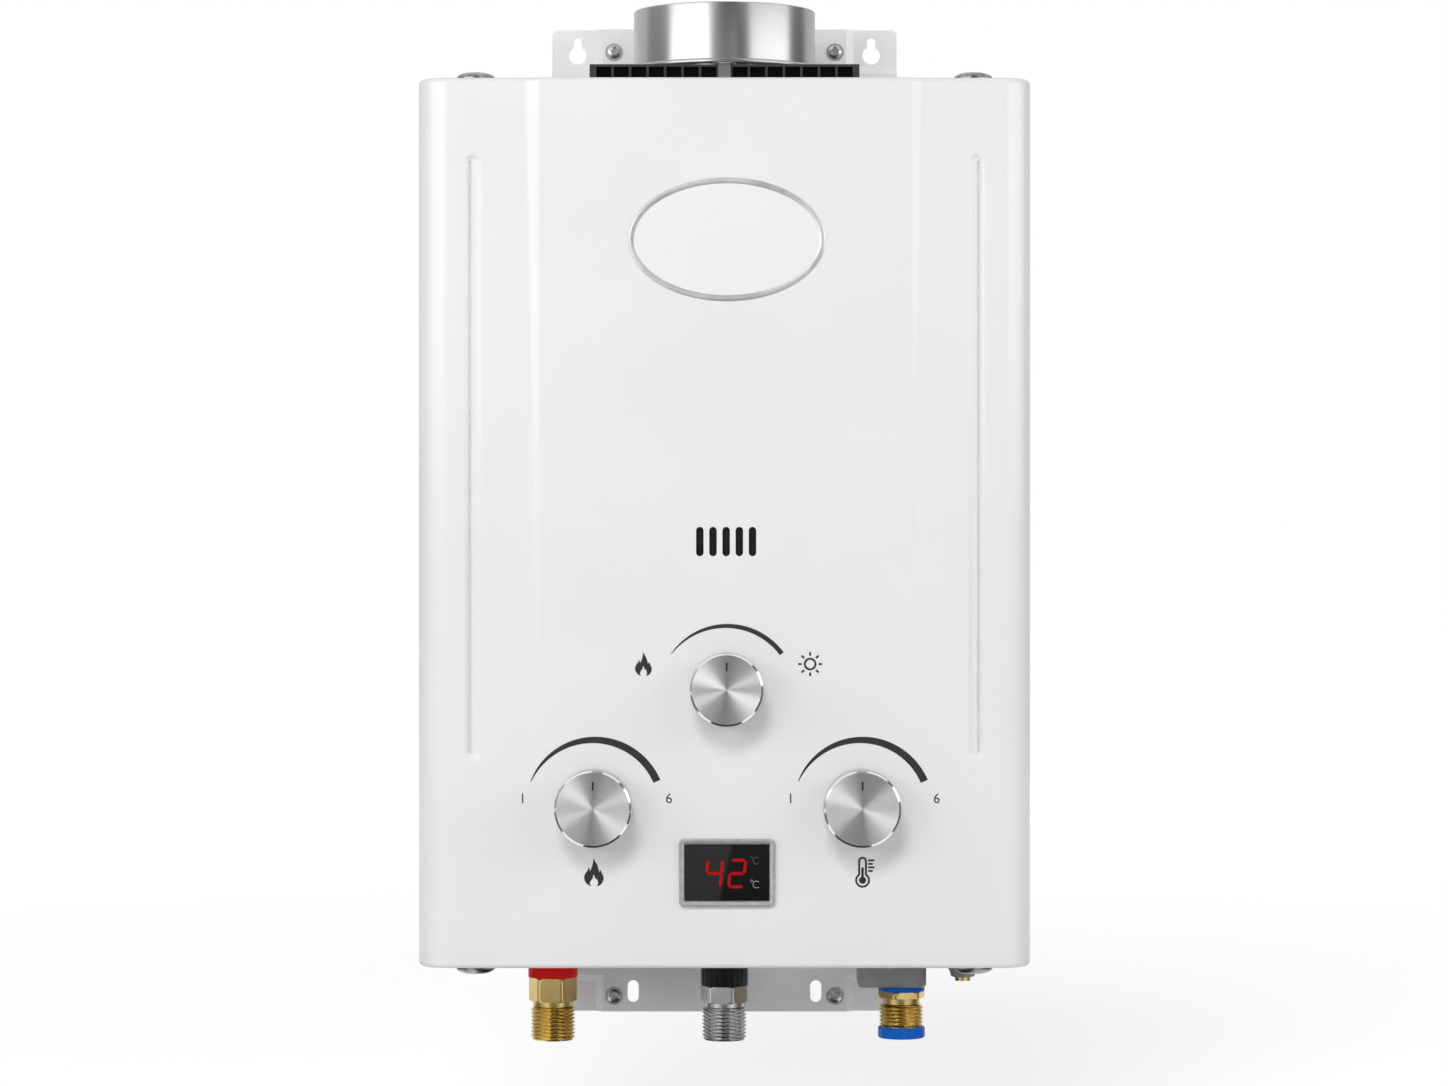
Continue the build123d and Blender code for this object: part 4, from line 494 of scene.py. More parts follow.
zinc_screw = finish("zinc_screw", (0.55, 0.55, 0.56, 1), 1.0, 0.28)
wear(zinc_screw, 1 * MM, 2, 0.2, 0.4)
screw_rows = [(HEAD_FLAT * SCREW_HEAD_R, SCREW_HEAD)]
screw_rows += domed(SCREW_HEAD_R, SCREW_HEAD, HEAD_FLAT, 0.35, 6)
screw_rows += [(SCREW_HEAD_R, WASHER), (WASHER_R - 0.2 * MM, WASHER), (WASHER_R, WASHER / 2), (WASHER_R, 0)]
slot_low = (-2.0 * MM, -4.0 * MM, -0.45 * MM)
slot_high = (2.0 * MM, -1.0 * MM, 0.45 * MM)
bracket_levels = {"upper": CASE_TOP + BRACKET_SCREW_OUT, "lower": CASE_BOTTOM - BRACKET_SCREW_OUT}
for name, level in bracket_levels.items():
    for side, hand in ((-1, "left"), (1, "right")):
        place = (side * BRACKET_SCREW_X, BRACKET_FRONT, level)
        head = turn_round(screw_rows, place, axis="Y", count=32)
        screw = make(f"{name}_bracket_screw_{hand}", head, zinc_screw)
        cross_recess(screw, slot_low, slot_high, "Y", 20, place)


# Cover screws: four large domed screws, two through the top of the casing and two through its
# bottom, turned from steel and blackened. Each head has a wide cross recess.
SCREW_DISC_R = 9.5 * MM
SCREW_DISC = 5.0 * MM
SHANK_R = 2.5 * MM
SHANK_LONG = 8.0 * MM
screw_low, screw_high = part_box("cover_screws")
blackened = finish("blackened_steel", (0.30, 0.30, 0.31, 1), 1.0, 0.3)
mottle(blackened, 4 * MM, 4, (0.20, 0.20, 0.21, 1), (0.42, 0.42, 0.43, 1))
wear(blackened, 1.5 * MM, 3, 0.22, 0.4)
dome = [(2.0 * MM, SCREW_DISC)] + domed(SCREW_DISC_R, SCREW_DISC, 0.2, 0.4, 7)
dome += [(SCREW_DISC_R, 0.8 * MM), (SCREW_DISC_R - 0.6 * MM, 0.0)]
dome += [(SHANK_R, 0.0), (SHANK_R, -SHANK_LONG)]
screw_places = [
    (side * (screw_high.x - SCREW_DISC_R), (screw_low.y + screw_high.y) / 2, top)
    for side in (-1, 1)
    for top in (True, False)
]
for number, (x, y, on_top) in enumerate(screw_places, 1):
    head = turn_round(dome, (0, 0, 0))
    screw = make(f"cover_screw_{number}", head, blackened, stands_for=["cover_screws"])
    cross_recess(screw, (-5 * MM, -0.9 * MM, 2.8 * MM), (5 * MM, 0.9 * MM, 8 * MM), "Z", 30)
    flip = Matrix.Identity(4) if on_top else Matrix.Rotation(math.pi, 4, "X")
    screw.data.transform(Matrix.Translation((x, y, CASE_TOP if on_top else CASE_BOTTOM)) @ flip)


# Flue collar: a spigot rolled from stainless strip, with a stop bead, a hemmed rim and a tab bent
# down over the grille. Its brushing runs round it.
collar_low, collar_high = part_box("flue_collar")
FLUE_Y = -58.0 * MM
FLUE_R = 45.0 * MM
FLUE_WALL = 0.8 * MM
BEAD_Z = CASE_TOP + 10.0 * MM
BEAD = 1.4 * MM
HEM_HALF = 0.65 * MM
HEM_RISE = 0.7 * MM
TAB_HALF = 3.0 * MM
TAB_FLARE = (1.9, 1.35, 1.15, 1.05, 1.0, 1.0, 1.0, 1.0)
TAB_SHEET = 0.8 * MM
TAB_BEND = 1.6 * MM
TAB_LIFT = 1.2 * MM


def brush(paint, axis, strength):
    """Fine brushing that runs round an axis and stretches the reflections across it."""
    around = paint.node_tree.nodes.new("ShaderNodeTangent")
    around.direction_type = "RADIAL"
    around.axis = axis
    feed(paint, "Tangent", around.outputs["Tangent"])
    tune(paint, "Anisotropic", strength)
    tune(paint, "Anisotropic Rotation", 0.25)


stainless = finish("stainless", (0.49, 0.49, 0.485, 1), 1.0, 0.32)
brush(stainless, "Z", 0.7)
rolled_lines = speckle(stainless, 2.4 * MM, 4, (0.03, 0.03, 6))
polish(stainless, rolled_lines, 0.29, 0.33)
emboss(stainless, rolled_lines, 0.01 * MM, 0.02)
wall = [(FLUE_R, collar_low.z)]
for index in range(9):
    turn = math.radians(180 * index / 8)
    wall.append((FLUE_R + BEAD * math.sin(turn), BEAD_Z - BEAD * math.cos(turn)))
hem = collar_high.z - HEM_RISE
for index in range(7):
    turn = math.radians(180 * index / 6)
    wall.append((FLUE_R - HEM_HALF + HEM_HALF * math.cos(turn), hem + HEM_RISE * math.sin(turn)))
wall += [(FLUE_R - 2 * HEM_HALF, hem - 2.5 * MM), (FLUE_R - FLUE_WALL, hem - 3 * MM)]
wall += [(FLUE_R - FLUE_WALL, collar_low.z)]
collar = turn_round(wall, (0, FLUE_Y, 0), count=128, hollow=True)
make("flue_collar_spigot", collar, stainless, stands_for=["flue_collar"])
tab = bmesh.new()
tab_y = collar_low.y
tab_z = grille_high.z + TAB_LIFT
tab_path = [(FLUE_Y - FLUE_R + 1 * MM, tab_z), (tab_y + TAB_BEND + 1 * MM, tab_z)]
for index in range(5):
    turn = math.radians(90 * index / 4)
    tab_path.append((tab_y + TAB_BEND * (1 - math.sin(turn)), tab_z - TAB_BEND * (1 - math.cos(turn))))
tab_path.append((tab_y, CASE_TOP + 0.1 * MM))
tab_rows = []
for (y, z), flare in zip(tab_path, TAB_FLARE):
    bent = y < tab_y + 1.5 * MM
    upright = z < grille_high.z - 1 * MM
    inward = Vector((0, TAB_SHEET if bent else 0, 0 if upright else -TAB_SHEET))
    half = TAB_HALF * flare
    near = [Vector((-half, y, z)), Vector((half, y, z))]
    tab_rows.append(near + [near[1] + inward, near[0] + inward])
plug(tab, tab_rows)
make("flue_collar_tab", tab, stainless, stands_for=["flue_collar"])


# Vent grille: a black moulded frame round the collar with open windows in its rim. Behind them
# stands a near-black strip, a dark sheet that stands for the shade inside the windows: painted shade.
black_moulding = finish("black_moulding", (0.026, 0.026, 0.026, 1), 0.0, 0.55)
grain(black_moulding, 0.6 * MM, 2, 0.03 * MM, 0.4)
wear(black_moulding, 5 * MM, 3, 0.45, 0.65)
dress(black_moulding, "top_vent_grille", "micro_switch", "display_board", "battery_box", "igniter_box")
dress(black_moulding, "battery_door")
STRIP_THICK = 0.5 * MM
STRIP_STOP = 25 * MM
GRILLE_WALL = 2.0 * MM
# A near-black finish for the strip behind the grille windows: painted shade inside them.
shade_strip_black = finish("shade_strip_black", (0.0015, 0.0015, 0.0015, 1), 0.0, 0.8)
tune(shade_strip_black, "Specular IOR Level", 0.1)
strip_grain = speckle(shade_strip_black, 0.5 * MM, 1)
emboss(shade_strip_black, strip_grain, 0.1 * MM, 0.6)
polish(shade_strip_black, strip_grain, 0.7, 0.9)
shade_strip = bmesh.new()
near = grille_low.y + GRILLE_WALL
inner = grille_high.x - GRILLE_WALL
rear = grille_high.y - STRIP_STOP
strip_line = [(-inner, rear), (-inner, near), (inner, near), (inner, rear)]
inner -= STRIP_THICK
near += STRIP_THICK
strip_line += [(inner, rear), (inner, near), (-inner, near), (-inner, rear)]
levels = (grille_low.z + 0.2 * MM, grille_high.z - 1.25 * MM)
plug(shade_strip, [[(x, y, z) for x, y in strip_line] for z in levels])
make("vent_shade_strip", shade_strip, shade_strip_black)


# Burner and heat exchanger: a copper box with a finned tube, over stainless burner bars fed by
# brass jets from a cast manifold. Heat has tinted the copper.
COPPER_BRIGHT = (0.73, 0.40, 0.26, 1)
COPPER_DULL = (0.42, 0.22, 0.15, 1)
copper = finish("copper", COPPER_BRIGHT, 1.0, 0.35)
mottle(copper, 18 * MM, 5, COPPER_DULL, COPPER_BRIGHT)
wear(copper, 4 * MM, 3, 0.25, 0.5)
dress(copper, "combustion_chamber", "exchanger_fins", "exchanger_tube", "hot_outlet_pipe", "cold_riser_pipe")
dress(stainless, "burner_bars", "push_rod", "overheat_switch", "battery_door_pin")
brass = finish("brass", (0.70, 0.52, 0.20, 1), 1.0, 0.24)
mottle(brass, 14 * MM, 3, (0.62, 0.45, 0.16, 1), (0.72, 0.54, 0.22, 1))
wear(brass, 5 * MM, 3, 0.16, 0.26)
dress(brass, "gas_jets", "diaphragm_cover", "relief_valve")
dress(brass, "season_spindle", "gas_spindle", "water_temperature_spindle")
cast_alloy = finish("cast_alloy", (0.50, 0.51, 0.52, 1), 0.9, 0.5)
grain(cast_alloy, 0.9 * MM, 3, 0.05 * MM, 0.5)
mottle(cast_alloy, 14 * MM, 4, (0.38, 0.39, 0.40, 1), (0.54, 0.55, 0.56, 1))
dress(cast_alloy, "gas_manifold", "season_valve", "gas_valve")
rubber = finish("rubber", (0.006, 0.006, 0.006, 1), 0.0, 0.5)
grain(rubber, 0.5 * MM, 2, 0.02 * MM, 0.3)
tune(rubber, "Specular IOR Level", 0.25)
dress(rubber, "diaphragm")
mica = finish("mica", (0.035, 0.031, 0.025, 1), 0.0, 0.15)
mottle(mica, 5 * MM, 4, (0.018, 0.016, 0.013, 1), (0.045, 0.04, 0.032, 1))
dress(mica, "viewing_window")
porcelain = finish("porcelain", (0.86, 0.84, 0.80, 1), 0.0, 0.2)
mottle(porcelain, 8 * MM, 3, (0.80, 0.78, 0.73, 1), (0.87, 0.85, 0.81, 1))
dress(porcelain, "ignition_electrode", "flame_sensor")
plated_steel = finish("plated_steel", (0.60, 0.60, 0.60, 1), 1.0, 0.24)
mottle(plated_steel, 14 * MM, 3, (0.50, 0.50, 0.505, 1), (0.60, 0.60, 0.60, 1))
wear(plated_steel, 5 * MM, 3, 0.16, 0.26)
dress(plated_steel, "temperature_probe")
cell_jacket = finish("cell_jacket", (0.16, 0.17, 0.19, 1), 0.3, 0.3)
wear(cell_jacket, 3 * MM, 3, 0.24, 0.4)
dress(cell_jacket, "batteries")


# Water valve: an alloy casting with a baked grey epoxy skin, bolted inside the back plate. Its inlet
# leg comes down through a notch in the casing.
grey_casting = finish("grey_casting", (0.28, 0.282, 0.285, 1), 0.2, 0.42)
grain(grey_casting, 0.8 * MM, 3, 0.05 * MM, 0.5)
mottle(grey_casting, 10 * MM, 4, (0.23, 0.232, 0.235, 1), (0.31, 0.312, 0.315, 1))
dress(grey_casting, "water_valve")


# Control knobs: caps turned from aluminium bar, their faces spun and their front edges diamond-cut.
# Each is pressed on its valve spindle and has a black line let into its face.
SEASON_R = 17.6 * MM
KNOB_R = 18.5 * MM
KNOB_EDGE = 1.0 * MM
FACE_Y = 0.06 * MM
KNOB_SLOPE = 0.75 * MM
SPINDLE_BORE = 4.2 * MM
LINE_INNER = 9.0 * MM
LINE_OUTER = 13.2 * MM
LINE_HALF = 0.45 * MM
LINE_DEEP = 0.16 * MM
spun_face = finish("spun_aluminium", (0.78, 0.78, 0.78, 1), 1.0, 0.36)
brush(spun_face, "Y", 0.92)
bright_cut = finish("bright_cut", (0.80, 0.80, 0.81, 1), 1.0, 0.12)
wear(bright_cut, 2 * MM, 2, 0.08, 0.18)
turned_side = finish("turned_side", (0.62, 0.62, 0.625, 1), 1.0, 0.36)
turned_lines = speckle(turned_side, 0.5 * MM, 2, (0.02, 1, 0.02))
polish(turned_side, turned_lines, 0.3, 0.45)
emboss(turned_side, turned_lines, 0.02 * MM, 0.3)
line_black = finish("line_black", (0.012, 0.012, 0.012, 1), 0.0, 0.5)
wear(line_black, 1 * MM, 2, 0.45, 0.6)
for knob, knob_r in (("season", SEASON_R), ("gas", KNOB_R), ("water_temperature", KNOB_R)):
    low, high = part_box(f"{knob}_knob")
    centre = ((low.x + high.x) / 2, low.y + FACE_Y, (low.z + high.z) / 2)
    length = high.y - low.y - FACE_Y
    face_r = knob_r - KNOB_EDGE
    shoulder = (knob_r - 0.12 * MM, -KNOB_SLOPE)
    face = [(face_r * share, 0) for share in (0.02, 0.25, 0.5, 0.75, 1.0)] + [(face_r, -0.3 * MM)]
    body = [shoulder, (knob_r, -KNOB_SLOPE - 0.2 * MM), (knob_r, -length + 1.0 * MM)]
    body += [(knob_r - 0.6 * MM, -length), (SPINDLE_BORE, -length)]
    edge = [(face_r, -0.02 * MM), shoulder, (knob_r - 0.3 * MM, -1.2 * MM)]
    turned = (("face", face, spun_face), ("body", body, turned_side), ("edge", edge, bright_cut))
    for part, profile, metal in turned:
        cap = turn_round(profile, centre, "Y", 128)
        make(f"{knob}_knob_{part}", cap, metal, f"{knob}_control", [f"{knob}_knob"])
    line = bmesh.new()
    block(
        line,
        (centre[0] - LINE_HALF, low.y, centre[2] + LINE_INNER),
        (centre[0] + LINE_HALF, low.y + LINE_DEEP, centre[2] + LINE_OUTER),
    )
    make(f"{knob}_knob_line", line, line_black, f"{knob}_control")


# Display: a silver-plated moulded frame clipped into the casing round a smoked acrylic lens, whose
# colour carries a painted reflection. Lit segments behind the lens show two figures and the unit.
bezel_low, bezel_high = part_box("display_bezel")
lens_low, lens_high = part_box("display_lens")
BEZEL_CORNER = 2.6 * MM
LENS_CORNER = 0.8 * MM
# A painted reflection on the lens: past a leaning edge, its colour turns from the dark smoke to a lighter
# tone that stands for a soft box mirrored in it.
REFLECTION_LEAN = 0.22
REFLECTION_START = REFLECTION_LEAN * DISPLAY_Z - DISPLAY_X - 0.4 * MM
REFLECTION_WIDTH = 2.0 * MM
LENS_SMOKE = (0.0032, 0.0032, 0.0034, 1)
PAINTED_REFLECTION = (0.022, 0.022, 0.021, 1)


def rounded_frame(low, high, corner, draw, y):
    """A rounded rectangle on an upright plane, drawn in from its corners."""
    outline = []
    radius = max(corner - draw, 0.2 * MM)
    for quarter, (sx, sz) in enumerate(((1, 1), (-1, 1), (-1, -1), (1, -1))):
        cx = high.x - corner if sx > 0 else low.x + corner
        cz = high.z - corner if sz > 0 else low.z + corner
        if corner < draw:
            cx -= sx * (draw - corner + radius)
            cz -= sz * (draw - corner + radius)
        for index in range(7):
            turn = math.radians(90 * quarter + 15 * index)
            outline.append(Vector((cx + radius * math.cos(turn), y, cz + radius * math.sin(turn))))
    return outline


silver_frame = finish("silver_frame", (0.56, 0.565, 0.57, 1), 0.6, 0.36)
mottle(silver_frame, 3 * MM, 4, (0.50, 0.505, 0.51, 1), (0.60, 0.605, 0.61, 1))
wear(silver_frame, 1 * MM, 3, 0.3, 0.44)
face_y = bezel_low.y
frame_profile = [(0.0, bezel_high.y), (0.0, face_y + 1.0 * MM), (0.25 * MM, face_y + 0.4 * MM)]
frame_profile += [(0.8 * MM, face_y), (1.9 * MM, face_y), (2.5 * MM, face_y + 0.35 * MM)]
frame_profile += [(2.9 * MM, face_y + 1.2 * MM), (2.9 * MM, bezel_high.y)]
bezel = bmesh.new()
hoop(bezel, [rounded_frame(bezel_low, bezel_high, BEZEL_CORNER, draw, y) for draw, y in frame_profile])
make("display_frame", bezel, silver_frame, stands_for=["display_bezel"])

# The lens colour is the dark smoke with a painted reflection, lighter above and to the left of a leaning
# edge.
smoked_lens_and_reflection = finish("smoked_acrylic_and_painted_reflection", (0.02, 0.02, 0.02, 1), 0.0, 0.12)
smoked_lens_and_reflection_tree = smoked_lens_and_reflection.node_tree
lens_place = smoked_lens_and_reflection_tree.nodes.new("ShaderNodeTexCoord")
reflection_lean = smoked_lens_and_reflection_tree.nodes.new("ShaderNodeVectorMath")
reflection_lean.operation = "DOT_PRODUCT"
reflection_lean.inputs[1].default_value = (-1.0, 0.0, REFLECTION_LEAN)
reflection_edge = smoked_lens_and_reflection_tree.nodes.new("ShaderNodeMapRange")
reflection_edge.inputs["From Min"].default_value = REFLECTION_START
reflection_edge.inputs["From Max"].default_value = REFLECTION_START + REFLECTION_WIDTH
smoked_lens_and_reflection_tree.links.new(lens_place.outputs["Object"], reflection_lean.inputs[0])
smoked_lens_and_reflection_tree.links.new(reflection_lean.outputs["Value"], reflection_edge.inputs["Value"])
shade(smoked_lens_and_reflection, reflection_edge.outputs["Result"], LENS_SMOKE, PAINTED_REFLECTION, 0.0, 1.0)
wear(smoked_lens_and_reflection, 6 * MM, 3, 0.1, 0.16)
tune(smoked_lens_and_reflection, "Specular IOR Level", 0.15)
lens = bmesh.new()
lens_rows = [(0.0, lens_high.y), (0.0, lens_low.y + 0.3 * MM), (0.3 * MM, lens_low.y)]
plug(lens, [rounded_frame(lens_low, lens_high, LENS_CORNER, draw, y) for draw, y in lens_rows])
make("display_window", lens, smoked_lens_and_reflection, stands_for=["display_lens"])

DIGIT_HALF = 3.55 * MM
DIGIT_TALL = 6.4 * MM
DIGIT_BAR = 1.5 * MM
DIGIT_GAP = 0.12 * MM
DIGIT_LEAN = 0.09
DIGIT_PITCH = 11.1 * MM
DIGIT_X = 0.55 * MM
DIGIT_Z = -408.5 * MM
LIT_PROUD = 0.05 * MM
DEGREE_X = 13.0 * MM
DEGREE_RISE = 1.5 * MM
DEGREE_R = 0.5 * MM
DEGREE_STROKE = 0.3 * MM
UNIT_X = 15.4 * MM
UNIT_DROP = 0.2 * MM
UNIT_R = 1.65 * MM
UNIT_STROKE = 0.42 * MM
lit_red = finish("lit_red", (0.30, 0.003, 0.004, 1), 0.0, 0.5)
tune(lit_red, "Emission Color", (0.50, 0.003, 0.004, 1))
tune(lit_red, "Emission Strength", 0.3)
tune(lit_red, "Specular IOR Level", 0.1)
mottle(lit_red, 1 * MM, 2, (0.26, 0.002, 0.003, 1), (0.33, 0.003, 0.004, 1))


def lit_bar(shape, start, end, middle_x, middle_z):
    """One six-sided segment between two corners of a figure, leaning as the figure does."""
    along = (Vector(end) - Vector(start)).normalized()
    across = Vector((-along.y, along.x)) * DIGIT_BAR / 2
    point = along * DIGIT_BAR / 2
    gap = along * DIGIT_GAP
    first, last = Vector(start) + gap, Vector(end) - gap
    outline = [first, first + point + across, last - point + across]
    outline += [last, last - point - across, first + point - across]
    rows = []
    for y in (lens_low.y - LIT_PROUD, lens_low.y + LIT_PROUD):
        rows.append([(middle_x + p.x + DIGIT_LEAN * p.y, y, middle_z + p.y) for p in outline])
    plug(shape, rows)


left, right, top = -DIGIT_HALF, DIGIT_HALF, DIGIT_TALL
bars = {
    "top": ((left, top), (right, top)),
    "top_left": ((left, 0), (left, top)),
    "top_right": ((right, 0), (right, top)),
    "middle": ((left, 0), (right, 0)),
    "low_left": ((left, -top), (left, 0)),
    "low_right": ((right, -top), (right, 0)),
    "low": ((left, -top), (right, -top)),
}
four = ("top_left", "top_right", "middle", "low_right")
two = ("top", "top_right", "middle", "low_left", "low")
for place, lit in enumerate((four, two)):
    figure = bmesh.new()
    for bar in lit:
        lit_bar(figure, *bars[bar], DIGIT_X + (place - 0.5) * DIGIT_PITCH, DIGIT_Z)
    make(f"display_figure_{place + 1}", figure, lit_red)


def drawn_line(shape, points, width, y_of, closed=False):
    """A flat line of one width along points of an upright face."""
    count = len(points)
    rows = []
    for index, point in enumerate(points):
        before = Vector(points[index - 1] if closed or index else point)
        after = Vector(points[(index + 1) % count] if closed or index < count - 1 else point)
        along = (after - before).normalized()
        across = Vector((-along.y, along.x)) * width / 2
        near, far = Vector(point) + across, Vector(point) - across
        front = [(p.x, y_of(p.x, p.y)[0], p.y) for p in (near, far)]
        behind = [(p.x, y_of(p.x, p.y)[1], p.y) for p in (far, near)]
        rows.append(front + behind)
    if closed:
        hoop(shape, rows)
    else:
        plug(shape, rows)


def on_lens(x, z):
    """Front and back of a lit mark at any place on the lens."""
    return lens_low.y - LIT_PROUD, lens_low.y + LIT_PROUD


for number, (z, tone) in enumerate(((-402.1 * MM, 0.055), (-413.6 * MM, 0.24)), 1):
    unit_ink = finish(f"unit_ink_{number}", (tone, tone, tone, 1), 0.0, 0.5)
    wear(unit_ink, 1 * MM, 2, 0.45, 0.6)
    unit = bmesh.new()
    degree = arc_points(DEGREE_X, z + DEGREE_RISE, DEGREE_R, 0, 330, 11)
    drawn_line(unit, degree, DEGREE_STROKE, on_lens, True)
    drawn_line(unit, arc_points(UNIT_X, z - UNIT_DROP, UNIT_R, 45, 315, 18), UNIT_STROKE, on_lens)
    make(f"display_unit_{number}", unit, unit_ink)


# Printed marks: black ink screened on the paint round each knob - a band that widens with the
# setting, a sign beneath or beside it, and plain numbers at the ends of the two lower bands.
INK_PROUD = 0.06 * MM
ARC_R = 33.1 * MM
GAS_X = -63.0 * MM
WATER_X = 66.0 * MM
LOWER_BAND_Z = -377.3 * MM
SEASON_SIGN_Z = -307.6 * MM
STROKE = 1.0 * MM
print_ink = finish("print_ink", (0.022, 0.022, 0.021, 1), 0.0, 0.45)
wear(print_ink, 2 * MM, 3, 0.4, 0.52)
mottle(print_ink, 4 * MM, 3, (0.018, 0.018, 0.017, 1), (0.026, 0.026, 0.025, 1))


def on_casing(x, z):
    """Front and back of a printed mark at a place on the casing."""
    face = CASE_FRONT - front_relief(x, z)
    return face - INK_PROUD, face + INK_PROUD


def printed(shape, outline):
    """A flat mark with this outline."""
    plug(shape, [[(x, on_casing(x, z)[side], z) for x, z in outline] for side in (0, 1)])


def widening_band(name, x, z, end_angle, thin, full):
    """A band round a knob that starts as a hair line and is broad at its right end."""
    band = bmesh.new()
    rows = []
    steps = 48
    for index in range(steps + 1):
        share = index / steps
        turn = math.radians(180 - end_angle + (2 * end_angle - 180) * share)
        half = (thin + (full - thin) * (1 - (1 - share) ** 2.4)) / 2
        line = [(x + r * math.cos(turn), z + r * math.sin(turn)) for r in (ARC_R - half, ARC_R + half)]
        front = [(px, on_casing(px, pz)[0], pz) for px, pz in line]
        rows.append(front + [(px, on_casing(px, pz)[1], pz) for px, pz in reversed(line)])
    plug(band, rows)
    make(name, band, print_ink)


widening_band("season_band", 1.0 * MM, -322.3 * MM, 36.4, 0.35 * MM, 2.35 * MM)
widening_band("gas_band", GAS_X, LOWER_BAND_Z, 23.3, 0.4 * MM, 3.7 * MM)
widening_band("water_temperature_band", WATER_X, LOWER_BAND_Z, 23.3, 0.4 * MM, 3.7 * MM)

FLAME = [
    (-0.15, 0.02), (-0.34, 0.09), (-0.47, 0.22), (-0.49, 0.36), (-0.41, 0.49), (-0.31, 0.58), (-0.28, 0.69),
    (-0.21, 0.60), (-0.19, 0.53), (-0.11, 0.68), (-0.05, 0.82), (-0.02, 1.0), (0.08, 0.87), (0.18, 0.74),
    (0.24, 0.60), (0.27, 0.50), (0.32, 0.60), (0.41, 0.47), (0.49, 0.33), (0.46, 0.19), (0.34, 0.07),
    (0.16, 0.02), (0.21, 0.12), (0.18, 0.22), (0.11, 0.29), (0.08, 0.24), (0.04, 0.36), (-0.03, 0.43),
    (-0.05, 0.32), (-0.11, 0.25), (-0.19, 0.17), (-0.20, 0.10),
]
FLAME_TIPS = (6, 8, 11, 15, 16, 25, 27)


def flowing(corners, tips, steps=4):
    """A closed outline that flows through points and is sharp only at its tips."""
    made = []
    count = len(corners)
    for index in range(count):
        p0, p1, p2, p3 = [Vector(corners[(index + shift) % count]) for shift in (-1, 0, 1, 2)]
        leave = (p2 - p0) / 2 if index not in tips else (p2 - p1)
        arrive = (p3 - p1) / 2 if (index + 1) % count not in tips else (p2 - p1)
        for step in range(steps):
            t = step / steps
            made.append(
                (2 * t**3 - 3 * t**2 + 1) * p1
                + (t**3 - 2 * t**2 + t) * leave
                + (3 * t**2 - 2 * t**3) * p2
                + (t**3 - t**2) * arrive
            )
    return made


flame_signs = [
    ("season_flame_sign", -39.1 * MM, SEASON_SIGN_Z, 8.2 * MM, 11.8 * MM),
    ("gas_flame_sign", GAS_X, -408.1 * MM, 9.5 * MM, 13.8 * MM),
]
for name, x, z, wide, tall in flame_signs:
    sign = bmesh.new()
    printed(sign, [(x + p.x * wide, z + (p.y - 0.5) * tall) for p in flowing(FLAME, FLAME_TIPS)])
    make(name, sign, print_ink)

SUN_X = 41.3 * MM
SUN_R = 2.55 * MM
RAY_ENDS = (4.05 * MM, 5.8 * MM)
sun = bmesh.new()
drawn_line(sun, arc_points(SUN_X, SEASON_SIGN_Z, SUN_R, 0, 352.5, 47), STROKE, on_casing, True)
for ray in range(8):
    turn = math.radians(45 * ray)
    ends = [(SUN_X + r * math.cos(turn), SEASON_SIGN_Z + r * math.sin(turn)) for r in RAY_ENDS]
    drawn_line(sun, ends, STROKE, on_casing)
make("season_sun_sign", sun, print_ink)

STEM_X = 66.6 * MM
BULB_Z = -411.9 * MM
BULB_R = 3.1 * MM
DROP_R = 1.75 * MM
COLUMN = 6.2 * MM
COLUMN_STROKE = 1.2 * MM
TICK_OUT = 2.7 * MM
TICK_PITCH = 1.7 * MM
TICK_LONG = 3.0 * MM
TICK_SHORT = 2.2 * MM
TICK_STROKE = 0.95 * MM
STEM_HALF = 1.65 * MM
STEM_TOP = -402.7 * MM
thermometer = bmesh.new()
neck_turn = math.degrees(math.asin(STEM_HALF / BULB_R))
outline = arc_points(STEM_X, BULB_Z, BULB_R, 90 + neck_turn, 450 - neck_turn, 30)
outline += arc_points(STEM_X, STEM_TOP, STEM_HALF, 0, 180, 12)
drawn_line(thermometer, outline, STROKE, on_casing, True)
drawn_line(thermometer, [(STEM_X, BULB_Z), (STEM_X, BULB_Z + COLUMN)], COLUMN_STROKE, on_casing)
printed(thermometer, arc_points(STEM_X, BULB_Z, DROP_R, 0, 345, 23))
for tick in range(4):
    z = STEM_TOP + 0.4 * MM - tick * TICK_PITCH
    start = STEM_X + TICK_OUT
    stop = start + (TICK_SHORT if tick % 2 else TICK_LONG)
    drawn_line(thermometer, [(start, z), (stop, z)], TICK_STROKE, on_casing)
make("water_temperature_sign", thermometer, print_ink)

NUMBER_SIZE = 6.8 * MM
NUMBER_Z = -372.6 * MM
for name, figure, x in (
    ("gas_number_low", "1", -97.4 * MM),
    ("gas_number_high", "6", -26.8 * MM),
    ("water_temperature_number_low", "1", 31.9 * MM),
    ("water_temperature_number_high", "6", 102.4 * MM),
):
    letter = bpy.data.curves.new(name, "FONT")
    letter.body = figure
    letter.size = NUMBER_SIZE
    letter.extrude = INK_PROUD
    letter.align_x = "CENTER"
    letter.align_y = "CENTER"
    stencil = show(name, letter)
    scene_graph = bpy.context.evaluated_depsgraph_get()
    shape = bmesh.new()
    shape.from_mesh(bpy.data.meshes.new_from_object(stencil.evaluated_get(scene_graph)))
    bpy.data.objects.remove(stencil)
    z = NUMBER_Z
    stand = Matrix.Translation((x, CASE_FRONT - front_relief(x, z), z)) @ Matrix.Rotation(math.pi / 2, 4, "X")
    bmesh.ops.transform(shape, matrix=stand, verts=shape.verts)
    bmesh.ops.remove_doubles(shape, verts=shape.verts, dist=0.002 * MM)
    make(name, shape, print_ink)


